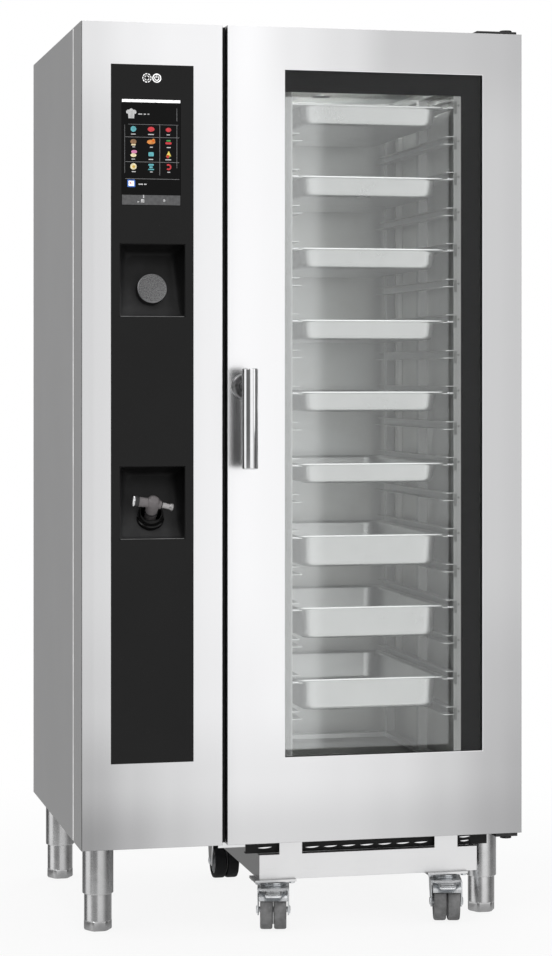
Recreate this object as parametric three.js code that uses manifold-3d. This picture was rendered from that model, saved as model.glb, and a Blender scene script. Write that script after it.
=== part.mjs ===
// Floor-standing combi steamer oven with a roll-in rack trolley, in millimetres, +Z up.
// Built in a working frame (x from the left side panel, y from the front face backwards, z from the floor),
// then shifted so that the part's origin is the centre of its footprint on the floor.
import * as THREE from "three";
import { mergeVertices } from "three/addons/utils/BufferGeometryUtils.js";
import Module from "manifold-3d";

const wasm = await Module();
wasm.setup();

// ---------- driving dimensions ----------
const W = 937; // cabinet width
const D = 745; // cabinet depth, front skin to rear edge of the side panels
const H = 1870; // cabinet height over the floor
const Z0 = 185; // underside of the cabinet
const T = 2; // sheet metal thickness
const COLUMN_W = 292; // control column width
const COLUMN_D = 114; // depth of the front column module
const DOOR_X0 = 303; // left edge of the door
const DOOR_BACK = 58; // rear face of the door
const FRAME_Y = 76; // front face of the cavity flange
const WIN = { x0: 423.5, x1: 851, z0: 361, z1: 1782 }; // window opening in the door skin
const SIGHT = { x0: 424, x1: 829, z0: 348, z1: 1750 }; // opening in the door's inner frame
const PANEL = { x0: 61, x1: 231, z0: 360, z1: 1783.5 }; // opening for the black control panel
const MOUTH = { x0: 433, x1: 845, z0: 300, z1: 1794 }; // cavity mouth
const CAVITY = { x0: 330, x1: 845, y1: 690, r: 24 }; // cavity inside walls
const POCKET = { x0: 78.5, x1: 214.5, h: 149.5 };
const DIAL_POCKET_Z0 = 1269.5;
const SHOWER_POCKET_Z0 = 815.5;
const HINGE = { x: 912, y: 31 };
const HANDLE = { x: 336, z: 1128, y: -64, r: 16.5, z0: 959.5, z1: 1165 };
const LEG = { x: 52, y0: 117, y1: 675, sleeveR: 32, tubeR: 28.5, sleeveZ: 77 };
const FAN = { y: 385, zUpper: 1405, zLower: 690, x: 346 };
const RACK = { cx: 637, y0: 86, y1: 640, half: 197, top: 1775 };
const LEVEL_TOP = 1721; // ledge height of the highest level
const LEVEL_PITCH = 76.1;
const LEVELS = 18;
const PAN = { w: 325, l: 530, y0: 102 };
const TROLLEY = { x0: 385, x1: 860, z0: 96, z1: 148, y0: 68, y1: 640, sideX1: 842 };
const CASTER = { xl: 418, xr: 793, yFront: 82, yRear: 585, trail: 44, wheelR: 40, swivel: -13 };

// ---------- geometry helpers ----------
function solid(geometry, matrix) {
  let g = geometry.index ? geometry.toNonIndexed() : geometry.clone();
  if (matrix) g.applyMatrix4(matrix);
  for (const name of Object.keys(g.attributes)) if (name !== "position") g.deleteAttribute(name);
  g = mergeVertices(g, 1e-3);
  return new wasm.Manifold(
    new wasm.Mesh({
      numProp: 3,
      vertProperties: new Float32Array(g.attributes.position.array),
      triVerts: new Uint32Array(g.index.array),
    }),
  );
}
function geometryOf(s) {
  const m = s.getMesh();
  const v = new Float32Array(m.numVert * 3);
  for (let i = 0; i < m.numVert; i++) v.set(m.vertProperties.subarray(i * m.numProp, i * m.numProp + 3), i * 3);
  let g = new THREE.BufferGeometry();
  g.setAttribute("position", new THREE.BufferAttribute(v, 3));
  g.setIndex(new THREE.BufferAttribute(new Uint32Array(m.triVerts), 1));
  g = g.toNonIndexed();
  g.computeVertexNormals();
  return g;
}
const join = (...list) => list.flat().reduce((a, b) => a.add(b));
const cut = (a, ...list) => list.flat().reduce((s, b) => s.subtract(b), a);
const at = (x, y, z) => new THREE.Matrix4().makeTranslation(x, y, z);

function box(x0, x1, y0, y1, z0, z1) {
  return solid(
    new THREE.BoxGeometry(x1 - x0, y1 - y0, z1 - z0),
    at((x0 + x1) / 2, (y0 + y1) / 2, (z0 + z1) / 2),
  );
}
// Matrix that takes +Y of a lathe or cylinder to the direction d, with its origin moved to p.
function along(p, d) {
  const q = new THREE.Quaternion().setFromUnitVectors(new THREE.Vector3(0, 1, 0), new THREE.Vector3(...d).normalize());
  return new THREE.Matrix4().compose(new THREE.Vector3(...p), q, new THREE.Vector3(1, 1, 1));
}
// Solid of revolution: profile points are [radius, distance along d from p].
function turned(profile, p, d, segments = 32) {
  return solid(new THREE.LatheGeometry(profile.map((c) => new THREE.Vector2(c[0], c[1])), segments), along(p, d));
}
function rod(r, p, q, segments = 24) {
  const a = new THREE.Vector3(...p);
  const b = new THREE.Vector3(...q);
  const d = b.clone().sub(a);
  const mid = a.clone().add(b).multiplyScalar(0.5);
  return solid(new THREE.CylinderGeometry(r, r, d.length(), segments), along(mid.toArray(), d.toArray()));
}
// A box whose eight corners are moved: front face (low y) and back face (high y), each [left-bottom, right-bottom, left-top, right-top].
function tapered(front, back) {
  const g = new THREE.BoxGeometry(2, 2, 2);
  const p = g.attributes.position;
  for (let i = 0; i < p.count; i++) {
    const k = (p.getX(i) > 0 ? 1 : 0) + (p.getZ(i) > 0 ? 2 : 0);
    const c = (p.getY(i) > 0 ? back : front)[k];
    p.setXYZ(i, c[0], c[1], c[2]);
  }
  return solid(g);
}
function roundedRectPoints(w, l, r, steps) {
  const out = [];
  const corners = [
    [w / 2 - r, -l / 2 + r, -90],
    [w / 2 - r, l / 2 - r, 0],
    [-w / 2 + r, l / 2 - r, 90],
    [-w / 2 + r, -l / 2 + r, 180],
  ];
  for (const [cx, cy, a0] of corners)
    for (let i = 0; i <= steps; i++) {
      const a = ((a0 + (90 * i) / steps) * Math.PI) / 180;
      out.push([cx + r * Math.cos(a), cy + r * Math.sin(a)]);
    }
  return out;
}
// Closed skin through a run of rounded rectangles [w, l, r, z], capped at both ends.
function lofted(rings, steps) {
  const pos = [];
  const idx = [];
  const n = 4 * (steps + 1);
  for (const [w, l, r, z] of rings) for (const [x, y] of roundedRectPoints(w, l, r, steps)) pos.push(x, y, z);
  for (let k = 0; k + 1 < rings.length; k++)
    for (let i = 0; i < n; i++) {
      const a = k * n + i;
      const b = k * n + ((i + 1) % n);
      idx.push(a, b, b + n, a, b + n, a + n);
    }
  const first = pos.length / 3;
  pos.push(0, 0, rings[0][3]);
  const lastZ = rings[rings.length - 1][3];
  pos.push(0, 0, lastZ);
  const off = (rings.length - 1) * n;
  for (let i = 0; i < n; i++) {
    idx.push(first, (i + 1) % n, i);
    idx.push(first + 1, off + i, off + ((i + 1) % n));
  }
  const g = new THREE.BufferGeometry();
  g.setAttribute("position", new THREE.BufferAttribute(new Float32Array(pos), 3));
  g.setIndex(idx);
  return solid(g);
}
// Upright prism over a plan outline of [x, y] points.
function prism(points, z0, z1) {
  const shape = new THREE.Shape(points.map((c) => new THREE.Vector2(c[0], c[1])));
  return solid(new THREE.ExtrudeGeometry(shape, { depth: z1 - z0, bevelEnabled: false, steps: 1 }), at(0, 0, z0));
}
// Bar with the outline [x, z] run along y.
function runY(points, y0, y1) {
  const shape = new THREE.Shape(points.map((c) => new THREE.Vector2(c[0], c[1])));
  const m = new THREE.Matrix4().makeBasis(
    new THREE.Vector3(1, 0, 0),
    new THREE.Vector3(0, 0, 1),
    new THREE.Vector3(0, -1, 0),
  );
  m.setPosition(0, y1, 0);
  return solid(new THREE.ExtrudeGeometry(shape, { depth: y1 - y0, bevelEnabled: false, steps: 1 }), m);
}
// Bar with the outline [y, z] run along x.
function runX(points, x0, x1) {
  const shape = new THREE.Shape(points.map((c) => new THREE.Vector2(c[0], c[1])));
  const m = new THREE.Matrix4().makeBasis(
    new THREE.Vector3(0, 1, 0),
    new THREE.Vector3(0, 0, 1),
    new THREE.Vector3(1, 0, 0),
  );
  m.setPosition(x0, 0, 0);
  return solid(new THREE.ExtrudeGeometry(shape, { depth: x1 - x0, bevelEnabled: false, steps: 1 }), m);
}

// ---------- materials ----------
const material = (color, roughness, metalness, extra = {}) =>
  new THREE.MeshStandardMaterial({ color, roughness, metalness, ...extra });
const STEEL = material(0xd9dadb, 0.32, 1);
const STEEL_DARK = material(0x8f9192, 0.4, 1);
const POLISHED = material(0xe2e2e4, 0.18, 1);
const BLACK_GLASS = material(0x1b1b1c, 0.12, 0);
const BLACK_PLASTIC = material(0x222223, 0.5, 0);
const GREY_PLASTIC = material(0x6f6d6e, 0.45, 0);
const GASKET = material(0x161616, 0.7, 0);
const GLASS = material(0xcfd6d4, 0.05, 0, { transparent: true, opacity: 0.3 });
const WHEEL = material(0x5d5e60, 0.6, 0);
const ZINC = material(0xc4c6c8, 0.35, 1);
const HOSE = material(0x2c2c2e, 0.6, 0);
const HEATER = material(0x4a4b48, 0.5, 0.6);
const ENAMEL = material(0x3b4046, 0.5, 0.2);

const cabinet = new THREE.Group();
const build = new THREE.Group();
function part(name, s, mat, parent = cabinet, position = [0, 0, 0]) {
  const m = new THREE.Mesh(geometryOf(s), mat);
  m.name = name;
  m.position.set(...position);
  parent.add(m);
  return m;
}

// ---------- casing ----------
{
  // Chassis: floor pan with an upstand, a drip gutter along the door side, and four leg sleeves welded under it.
  const pan = cut(box(17, W - 17, 82, 714, 185.3, 215), box(19, W - 19, 84, 712, 187.3, 220));
  const ribs = [260, 500].map((y) => box(18, W - 18, y, y + 26, 186, 206));
  const column = box(-5, COLUMN_W + 1.2, 0, COLUMN_D + 1.5, Z0 - 0.4, 300);
  // Lip turned down along the door side, hidden behind the trolley uprights.
  const gutter = runX([[82, 186], [82, 164], [84, 164], [84, 170], [128, 166], [128, 164], [130, 164], [130, 186], [128, 186], [128, 168.2], [84, 172.2], [84, 186]], 300, 848);
  const legs = [];
  for (const x of [LEG.x, W - LEG.x])
    for (const y of [LEG.y0, LEG.y1])
      legs.push(
        turned(
          [[LEG.tubeR + 0.6, 0], [LEG.sleeveR - 1, 0], [LEG.sleeveR, 1.2], [LEG.sleeveR, 109.5], [LEG.tubeR + 0.6, 109.5], [LEG.tubeR + 0.6, 0]],
          [x, y, LEG.sleeveZ],
          [0, 0, 1],
          24,
        ),
      );
  const drainHole = rod(29, [640, 400, 180], [640, 400, 230]);
  part("base_frame", cut(join(pan, ribs, gutter, legs), drainHole, column), STEEL);
}
{
  // Folded side panels: plate with a front and a rear return.
  const side = (y0) => prism([[0, y0], [16, y0], [16, y0 + T], [T, y0 + T], [T, D - T], [16, D - T], [16, D], [0, D]], Z0 + 0.5, H - 2.1);
  const right = [[W, FRAME_Y + 4.8], [W, D], [W - 16, D], [W - 16, D - T], [W - T, D - T], [W - T, FRAME_Y + 4.8 + T], [W - 16, FRAME_Y + 4.8 + T], [W - 16, FRAME_Y + 4.8]];
  part("side_panel_left", side(COLUMN_D + 1.5), STEEL);
  part("side_panel_right", prism(right, Z0 + 0.5, H - 2.1), STEEL);
}
{
  const slots = [];
  for (const [x0, z0] of [[90, 1450], [90, 420], [560, 1450]])
    for (let i = 0; i < 9; i++) slots.push(box(x0, x0 + 150, 710, 725, z0 + i * 22, z0 + i * 22 + 7));
  const drain = rod(27, [640, 700, 240], [640, 740, 240]);
  const stiff = [300, 1080].map((z) => box(20, W - 20, 709, 716.5, z + 250, z + 270));
  part("back_panel", cut(join(box(17, W - 17, 716, 718, 216, H - 4), box(17, W - 17, 700, 718, H - 6, H - 4), stiff), slots, drain), STEEL_DARK);
}
{
  const vent = rod(33, [640, 560, H - 10], [640, 560, H + 10]);
  const rear = box(0, W, COLUMN_D + 1.5, D, H - 1.7, H);
  const front = box(DOOR_X0, W, FRAME_Y + 4.8, COLUMN_D + 4, H - 1.7, H);
  const lip = box(3, W - 3, D - 20, D - 18, H - 3.6, H - 1);
  part("top_panel", cut(join(rear, front, lip), vent), STEEL);
}

// ---------- control column ----------
{
  const shell = cut(box(0, COLUMN_W, 0, COLUMN_D, Z0, H), box(T, COLUMN_W - T, T, COLUMN_D + 5, Z0 + T, H - T));
  const hole = box(PANEL.x0, PANEL.x1, -5, 5, PANEL.z0, PANEL.z1);
  part("control_fascia", cut(shell, hole), STEEL);
}
const pocketHole = (z0, y0, y1) => box(POCKET.x0, POCKET.x1, y0, y1, z0, z0 + POCKET.h);
{
  const front = box(PANEL.x0 + 0.5, PANEL.x1 - 0.5, 0.4, 3, PANEL.z0 + 0.5, PANEL.z1 - 0.5);
  const back = box(PANEL.x0 - 7, PANEL.x1 + 7, 2.4, 6, PANEL.z0 - 7, PANEL.z1 + 7);
  const display = box(82.5, 205, -2, 9, 1497, 1714);
  part("control_panel", cut(join(front, back), display, pocketHole(DIAL_POCKET_Z0, -2, 9), pocketHole(SHOWER_POCKET_Z0, -2, 9)), BLACK_GLASS);
  const screen = join(box(83, 204.5, 0.9, 8, 1497.5, 1713.5), box(76, 211.5, 6.4, 16, 1490, 1721));
  part("touch_display", screen, BLACK_GLASS);
}
// Pocket: flange behind the panel, drafted walls and a back wall that leans so that it faces a little upwards.
const POCKET_Y = 6.3;
const POCKET_BACK = { yTop: 46, yBottom: 14, inTop: 15, inBottom: 5, sideTop: 17, sideBottom: 9 };
const leanRun = POCKET.h - POCKET_BACK.inTop - POCKET_BACK.inBottom;
const LEAN = Math.atan2(POCKET_BACK.yTop - POCKET_BACK.yBottom, leanRun);
function pocket(z0, grow) {
  const z1 = z0 + POCKET.h;
  const b = POCKET_BACK;
  const yf = grow ? POCKET_Y : POCKET_Y - 6;
  const g = grow;
  const xl = POCKET.x0 - g, xr = POCKET.x1 + g, zl = z0 - g, zt = z1 + g;
  const front = [[xl, yf, zl], [xr, yf, zl], [xl, yf, zt], [xr, yf, zt]];
  const back = [
    [POCKET.x0 + b.sideBottom - g, POCKET_Y + b.yBottom + g, z0 + b.inBottom - g],
    [POCKET.x1 - b.sideBottom + g, POCKET_Y + b.yBottom + g, z0 + b.inBottom - g],
    [POCKET.x0 + b.sideTop - g, POCKET_Y + b.yTop + g, z1 - b.inTop + g],
    [POCKET.x1 - b.sideTop + g, POCKET_Y + b.yTop + g, z1 - b.inTop + g],
  ];
  return tapered(front, back);
}
// Depth of a pocket's back wall at height z.
const backWallY = (z, z0) =>
  POCKET_Y + POCKET_BACK.yBottom + ((z - z0 - POCKET_BACK.inBottom) / leanRun) * (POCKET_BACK.yTop - POCKET_BACK.yBottom);
const DIAL_AXIS = [0, -Math.cos(LEAN), Math.sin(LEAN)];
const DIAL_ROOT_Z = DIAL_POCKET_Z0 + 52;
const DIAL_ROOT = [146.5, backWallY(DIAL_ROOT_Z, DIAL_POCKET_Z0), DIAL_ROOT_Z];
const onAxis = (root, axis, s) => root.map((c, i) => c + axis[i] * s);
const SHOWER_TILT = (42 * Math.PI) / 180;
const SHOWER_AXIS = [0, -Math.cos(SHOWER_TILT), Math.sin(SHOWER_TILT)];
const SHOWER_ROOT_Z = SHOWER_POCKET_Z0 + 46;
const SHOWER_ROOT = [146.5, backWallY(SHOWER_ROOT_Z, SHOWER_POCKET_Z0) - 3, SHOWER_ROOT_Z];
{
  const flange = (z0) => box(POCKET.x0 - 6, POCKET.x1 + 6, POCKET_Y, POCKET_Y + 2, z0 - 6, z0 + POCKET.h + 6);
  const shaftHole = rod(6, onAxis(DIAL_ROOT, DIAL_AXIS, -12), onAxis(DIAL_ROOT, DIAL_AXIS, 12), 20);
  part("dial_recess", cut(join(flange(DIAL_POCKET_Z0), pocket(DIAL_POCKET_Z0, 2.2)), pocket(DIAL_POCKET_Z0, 0), shaftHole), BLACK_PLASTIC);
  const tubeHole = rod(26.5, onAxis(SHOWER_ROOT, SHOWER_AXIS, -70), onAxis(SHOWER_ROOT, SHOWER_AXIS, 40), 32);
  part("shower_recess", cut(join(flange(SHOWER_POCKET_Z0), pocket(SHOWER_POCKET_Z0, 2.2)), pocket(SHOWER_POCKET_Z0, 0), tubeHole), BLACK_PLASTIC);
  // Holster: rolled collar in front of the wall and a guide tube behind it.
  const collar = turned(
    [[22, -52], [26, -52], [26, 8.5], [25, 12.5], [22.5, 13.5], [20.5, 11], [20, 6], [22, 2], [22, -52]],
    SHOWER_ROOT,
    SHOWER_AXIS,
    28,
  );
  part("shower_holster", collar, BLACK_PLASTIC);
}

// ---------- cavity ----------
{
  const wallZ0 = MOUTH.z0 - T;
  const wallZ1 = MOUTH.z1 + T;
  const plan = (grow) => {
    const w = CAVITY.x1 - CAVITY.x0 + 2 * grow;
    const y0 = 40;
    const l = CAVITY.y1 + grow - y0;
    return roundedRectPoints(w, l, CAVITY.r + grow, 4).map(([x, y]) => [x + (CAVITY.x0 + CAVITY.x1) / 2, y + y0 + l / 2]);
  };
  const front = box(200, 1000, 0, FRAME_Y + 1, 100, 2000);
  const outer = cut(prism(plan(T), wallZ0, wallZ1), front);
  const inner = prism(plan(0), MOUTH.z0, MOUTH.z1);
  const flange = box(COLUMN_W + 1.2, W, FRAME_Y, FRAME_Y + 4, Z0 + 0.5, H);
  const innerBehind = cut(inner, box(200, 1000, 0, FRAME_Y + 4, 100, 2000));
  const mouth = box(MOUTH.x0, MOUTH.x1, FRAME_Y - 5, FRAME_Y + 6, MOUTH.z0, MOUTH.z1);
  const holes = [];
  for (const z of [FAN.zUpper, FAN.zLower]) {
    holes.push(rod(12, [310, FAN.y, z], [340, FAN.y, z]));
    for (const s of [-1, 1]) holes.push(rod(7, [310, FAN.y + s * 22, z - 185], [340, FAN.y + s * 22, z - 185], 12));
  }
  holes.push(rod(16, [310, 600, 560], [340, 600, 560]));
  holes.push(rod(24, [640, 400, 285], [640, 400, 310]));
  holes.push(rod(27.5, [640, 560, 1785], [640, 560, 1810]));
  part("cavity_liner", cut(join(outer, flange), innerBehind, mouth, holes), STEEL);
}
let gasket;
{
  // Seal round the mouth, relieved behind where the trolley's two uprights pass.
  const outer = box(MOUTH.x0 - 18, MOUTH.x1 + 18, DOOR_BACK + 0.4, FRAME_Y - 0.4, MOUTH.z0 - 19, MOUTH.z1 + 18);
  const inner = box(MOUTH.x0 - 4, MOUTH.x1 + 4, 50, 80, MOUTH.z0 - 5, MOUTH.z1 + 4);
  const reliefs = [[422, 481], [762, 827]].map(([a, b]) => box(a, b, 66.1, 80, 260, 322));
  gasket = cut(outer, inner, reliefs);
}
{
  // Air baffle in front of the fans, with a slotted intake for each fan and air slots down both edges.
  const plate = box(436, 438, 96, 678, 308, 1786);
  const returns = [box(420, 438, 96, 98, 308, 1786), box(420, 438, 676, 678, 308, 1786)];
  const slots = [];
  for (const z of [FAN.zUpper, FAN.zLower])
    for (let i = -5; i <= 5; i++) {
      const h = i * 22;
      const half = Math.sqrt(135 * 135 - h * h) - 8;
      slots.push(box(430, 445, FAN.y - half, FAN.y + half, z + h - 5, z + h + 5));
    }
  for (let i = 0; i < 9; i++)
    for (const y of [112, 640]) slots.push(box(430, 445, y, y + 18, 350 + i * 158, 350 + i * 158 + 110));
  part("fan_baffle", cut(join(plate, returns), slots), STEEL);
}
// Fans: backward blades between a back plate and a front ring, on a shaft that runs into the motor.
const fanWheels = {};
for (const [label, z] of [["upper", FAN.zUpper], ["lower", FAN.zLower]]) {
  const c = [0, 0, 0];
  const disc = turned([[0, 0], [150, 0], [150, 2], [30, 2], [24, 20], [0, 20]], [FAN.x, 0, 0], [1, 0, 0], 30);
  const ring = turned([[112, 54], [150, 54], [150, 56], [112, 56], [112, 54]], [FAN.x, 0, 0], [1, 0, 0], 30);
  const blades = [];
  for (let i = 0; i < 10; i++) {
    const a = (i * Math.PI) / 5;
    const g = new THREE.BoxGeometry(54, 2, 42);
    const m = new THREE.Matrix4()
      .makeRotationX(a)
      .multiply(at(FAN.x + 28, 0, 127))
      .multiply(new THREE.Matrix4().makeRotationX(0.5));
    blades.push(solid(g, m));
  }
  const shaft = rod(7, [262, 0, 0], [FAN.x + 4, 0, 0], 16);
  fanWheels[label] = { s: join(disc, ring, blades, shaft), z };
  // Motor: finned can on a mounting flange bolted to the cavity wall.
  const can = turned([[7.6, 0], [52, 0], [58, 4], [58, 96], [66, 96], [66, 100], [7.6, 100], [7.6, 0]], [212, FAN.y, z], [1, 0, 0], 20);
  const cap = turned([[0, -14], [44, -14], [50, -6], [50, 2], [0, 2]], [212, FAN.y, z], [1, 0, 0], 20);
  const boss = turned([[7.6, 100], [20, 100], [20, 114.5], [7.6, 114.5], [7.6, 100]], [212, FAN.y, z], [1, 0, 0], 20);
  part(`fan_motor_${label}`, join(can, cap, boss), ENAMEL);
  // Heater: two and a half turns of tube round the fan, with both ends taken out through the wall.
  const pts = [];
  const r = 176;
  const zEnd = -185;
  pts.push([306, 22, zEnd], [340, 22, zEnd]);
  const turns = 2;
  for (let i = 0; i <= turns * 28; i++) {
    const t = i / (turns * 28);
    const a = -Math.PI / 2 + 0.22 + t * (turns * 2 * Math.PI - 0.44);
    pts.push([356 + t * 44, r * Math.cos(a), r * Math.sin(a)]);
  }
  pts.push([392, -22, zEnd - 6], [372, -22, zEnd], [340, -22, zEnd], [306, -22, zEnd]);
  const path = new THREE.CatmullRomCurve3(pts.map((p) => new THREE.Vector3(p[0], p[1], p[2])), false, "centripetal");
  const circle = new THREE.Shape();
  circle.absarc(0, 0, 4.6, 0, Math.PI * 2, false);
  const tube = new THREE.ExtrudeGeometry(circle, { extrudePath: path, steps: 60, curveSegments: 3, bevelEnabled: false });
  part(`heater_ring_${label}`, solid(tube, at(0, FAN.y, z)), HEATER);
}
{
  const tank = turned([[0, 0], [60, 0], [82, 12], [86, 24], [86, 318], [82, 330], [60, 342], [0, 342]], [140, 600, 330], [0, 0, 1], 20);
  const feed = join(rod(13, [140, 600, 560], [334, 600, 560], 20), rod(24, [214, 600, 560], [226, 600, 560], 20));
  const flange = rod(44, [140, 600, 664], [140, 600, 684], 24);
  const feet = [0, 120, 240].map((a) => {
    const c = Math.cos((a * Math.PI) / 180) * 58;
    const s = Math.sin((a * Math.PI) / 180) * 58;
    return rod(9, [140 + c, 600 + s, 216], [140 + c, 600 + s, 340], 12);
  });
  part("steam_generator", join(tank, feed, flange, feet), STEEL_DARK);
}
{
  const fins = [];
  for (let i = 0; i < 9; i++) fins.push(box(66 + i * 18, 69 + i * 18, 470, 501, 1130, 1290));
  const shell = join(box(50, 240, 500, 640, 1090, 1330), fins, box(40, 250, 636, 640, 1070, 1350));
  part("electronics_box", shell, ENAMEL);
}
{
  const outer = rod(30, [640, 560, H - 73], [640, 560, H + 42], 24);
  const spigot = rod(26, [640, 560, H - 78], [640, 560, H - 60], 24);
  const collar = rod(40, [640, 560, H + 0.4], [640, 560, H + 3.4], 24);
  const bore = rod(22, [640, 560, H - 90], [640, 560, H + 60], 24);
  part("vent_pipe", cut(join(outer, spigot, collar), bore), POLISHED);
}
{
  const outer = join(
    rod(23.3, [640, 400, 299], [640, 400, 240], 24),
    rod(40, [640, 400, 296.5], [640, 400, 292], 24),
    rod(23.3, [640, 400, 240], [640, 742, 240], 24),
    solid(new THREE.SphereGeometry(23.3, 16, 8), at(640, 400, 240)),
  );
  const bore = join(rod(20, [640, 400, 320], [640, 400, 240], 24), rod(20, [640, 400, 240], [640, 760, 240], 24));
  part("drain_pipe", cut(outer, bore), POLISHED);
}

// ---------- door hinges ----------
{
  const top = join(
    box(842, 930, 12, 140, H + 1.2, H + 7),
    box(852, 920, 82, 136, H + 0.3, H + 2),
    rod(7, [HINGE.x, HINGE.y, H - 24], [HINGE.x, HINGE.y, H + 6], 20),
    rod(13, [HINGE.x, HINGE.y, H + 5], [HINGE.x, HINGE.y, H + 11], 20),
  );
  part("hinge_bracket_top", top, BLACK_PLASTIC);
  const bottom = join(
    box(884, 932, 12, 150, 176, 182.5),
    box(884, 919, 86, 150, 182, 184.9),
    rod(7, [HINGE.x, HINGE.y, 178], [HINGE.x, HINGE.y, 208], 16),
    rod(12, [HINGE.x, HINGE.y, 170], [HINGE.x, HINGE.y, 178], 20),
  );
  const leg = rod(LEG.sleeveR + 0.6, [W - LEG.x, LEG.y0, 160], [W - LEG.x, LEG.y0, 200], 32);
  part("hinge_bracket_bottom", cut(bottom, leg, box(880, 917, 84, 160, 170, 190)), STEEL_DARK);
}
build.add(cabinet);

// ---------- door ----------
const door = new THREE.Group();
{
  const shell = cut(box(DOOR_X0, W, 0, 50, Z0, H), box(DOOR_X0 + T, W - T, T, 60, Z0 + T, H - T));
  const window = box(WIN.x0, WIN.x1, -5, 6, WIN.z0, WIN.z1);
  const pinHoles = rod(7.6, [HINGE.x, HINGE.y, 180], [HINGE.x, HINGE.y, 190], 20).add(
    rod(7.6, [HINGE.x, HINGE.y, H - 5], [HINGE.x, HINGE.y, H + 5], 20),
  );
  const spindle = rod(8, [HANDLE.x, -5, HANDLE.z], [HANDLE.x, 8, HANDLE.z], 20);
  part("door_outer_frame", cut(shell, window, pinHoles, spindle), STEEL, door);

  part("door_outer_glass", box(413.5, 861, 2.4, 8.4, 351, 1792), GLASS, door);

  const s = SIGHT;
  const back = cut(box(306, W - 3, 50.4, DOOR_BACK, 188.4, H - 3.4), box(308, W - 5, 40, DOOR_BACK - T, 190.4, H - 5.4));
  const tunnel = cut(box(s.x0 - T, s.x1 + T, 9, DOOR_BACK - 0.5, s.z0 - T, s.z1 + T), box(s.x0, s.x1, 0, 80, s.z0, s.z1));
  const opening = box(s.x0, s.x1, 0, 80, s.z0, s.z1);
  const hole = rod(8, [HANDLE.x, 45, HANDLE.z], [HANDLE.x, 70, HANDLE.z], 20);
  part("door_inner_frame", cut(join(cut(back, opening), tunnel), hole), STEEL_DARK, door);

  part("door_inner_glass", box(s.x0 + 0.4, s.x1 - 0.4, 51, 56, s.z0 + 0.4, s.z1 - 0.4), GLASS, door);
  part("door_gasket", gasket, GASKET, door);

  const rose = turned([[10.4, 0.4], [25.5, 0.4], [25.5, 5], [23.5, 8], [10.4, 8], [10.4, 0.4]], [HANDLE.x, 0, HANDLE.z], [0, -1, 0], 32);
  part("handle_rose", rose, POLISHED, door);
}
build.add(door);

// ---------- handle ----------
const handle = new THREE.Group();
{
  const L = HANDLE.z1 - HANDLE.z0;
  const grip = turned(
    [[0, 0], [HANDLE.r - 2.2, 0], [HANDLE.r, 2.2], [HANDLE.r, L - 2.2], [HANDLE.r - 2.2, L], [0, L]],
    [HANDLE.x, HANDLE.y, HANDLE.z0],
    [0, 0, 1],
    32,
  );
  const neck = rod(10, [HANDLE.x, HANDLE.y, HANDLE.z], [HANDLE.x, -0.9, HANDLE.z], 24);
  part("door_handle", join(grip, neck), POLISHED, handle);
  const spindle = rod(6, [HANDLE.x, -0.5, HANDLE.z], [HANDLE.x, 63, HANDLE.z], 16);
  const hub = rod(11, [HANDLE.x, DOOR_BACK + 1, HANDLE.z], [HANDLE.x, DOOR_BACK + 7.5, HANDLE.z], 20);
  const tongue = box(HANDLE.x - 28, HANDLE.x, DOOR_BACK + 3, DOOR_BACK + 6.6, HANDLE.z - 8, HANDLE.z + 8);
  part("latch_cam", join(spindle, hub, tongue), STEEL_DARK, handle);
}
build.add(handle);

// ---------- selector dial ----------
{
  const profile = [[0, 0], [28.5, 0], [31, 2], [31, 23.5], [29.6, 25.5], [0, 25.5]];
  // The dial, its shaft and the turned head behind the recess wall are one piece.
  const shaft = rod(4.5, onAxis(DIAL_ROOT, DIAL_AXIS, -16), onAxis(DIAL_ROOT, DIAL_AXIS, 4), 16);
  const tail = rod(13, onAxis(DIAL_ROOT, DIAL_AXIS, -22), onAxis(DIAL_ROOT, DIAL_AXIS, -8), 20);
  part("selector_dial", join(turned(profile, onAxis(DIAL_ROOT, DIAL_AXIS, 3.2), DIAL_AXIS, 44), shaft, tail), GREY_PLASTIC, build);
}

// ---------- hand shower ----------
const shower = new THREE.Group();
const HEAD = onAxis(SHOWER_ROOT, SHOWER_AXIS, 42);
{
  // Stem that stands in the holster, domed head on top, and a spray barrel across it.
  const stem = turned(
    [[0, -34], [12, -34], [13.5, -30], [13.5, 6], [14, 20], [15.5, 34], [16, 44], [14.5, 52], [10, 57.5], [0, 59.5]],
    SHOWER_ROOT,
    SHOWER_AXIS,
    20,
  );
  const left = onAxis(HEAD, [-1, 0, 0.12], 34);
  const barrel = rod(9.5, HEAD, left, 20);
  const nozzle = turned([[0, 0], [10, 0], [14.5, 6], [14.5, 12], [12.5, 13.5], [0, 13.5]], onAxis(HEAD, [-1, 0, 0.12], 30), [-1, 0, 0.12], 24);
  part("hand_shower", join(stem, barrel, nozzle), GREY_PLASTIC, shower);
  const hose = rod(7, onAxis(SHOWER_ROOT, SHOWER_AXIS, -34.5), onAxis(SHOWER_ROOT, SHOWER_AXIS, -300), 14);
  part("shower_hose", hose, HOSE, shower);
  // Thumb lever on the other side of the head.
  const p0 = onAxis(HEAD, [1, 0, -0.22], 19);
  const p1 = onAxis(HEAD, [1, 0, -0.22], 37);
  const lever = join(rod(6.5, p0, p1, 16), rod(8, onAxis(HEAD, [1, 0, -0.22], 34), onAxis(HEAD, [1, 0, -0.22], 43), 16));
  part("shower_trigger", lever, POLISHED, shower);
}
build.add(shower);

// ---------- fan wheels ----------
for (const label of ["upper", "lower"]) part(`fan_wheel_${label}`, fanWheels[label].s, STEEL_DARK, build, [0, FAN.y, fanWheels[label].z]);

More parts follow.
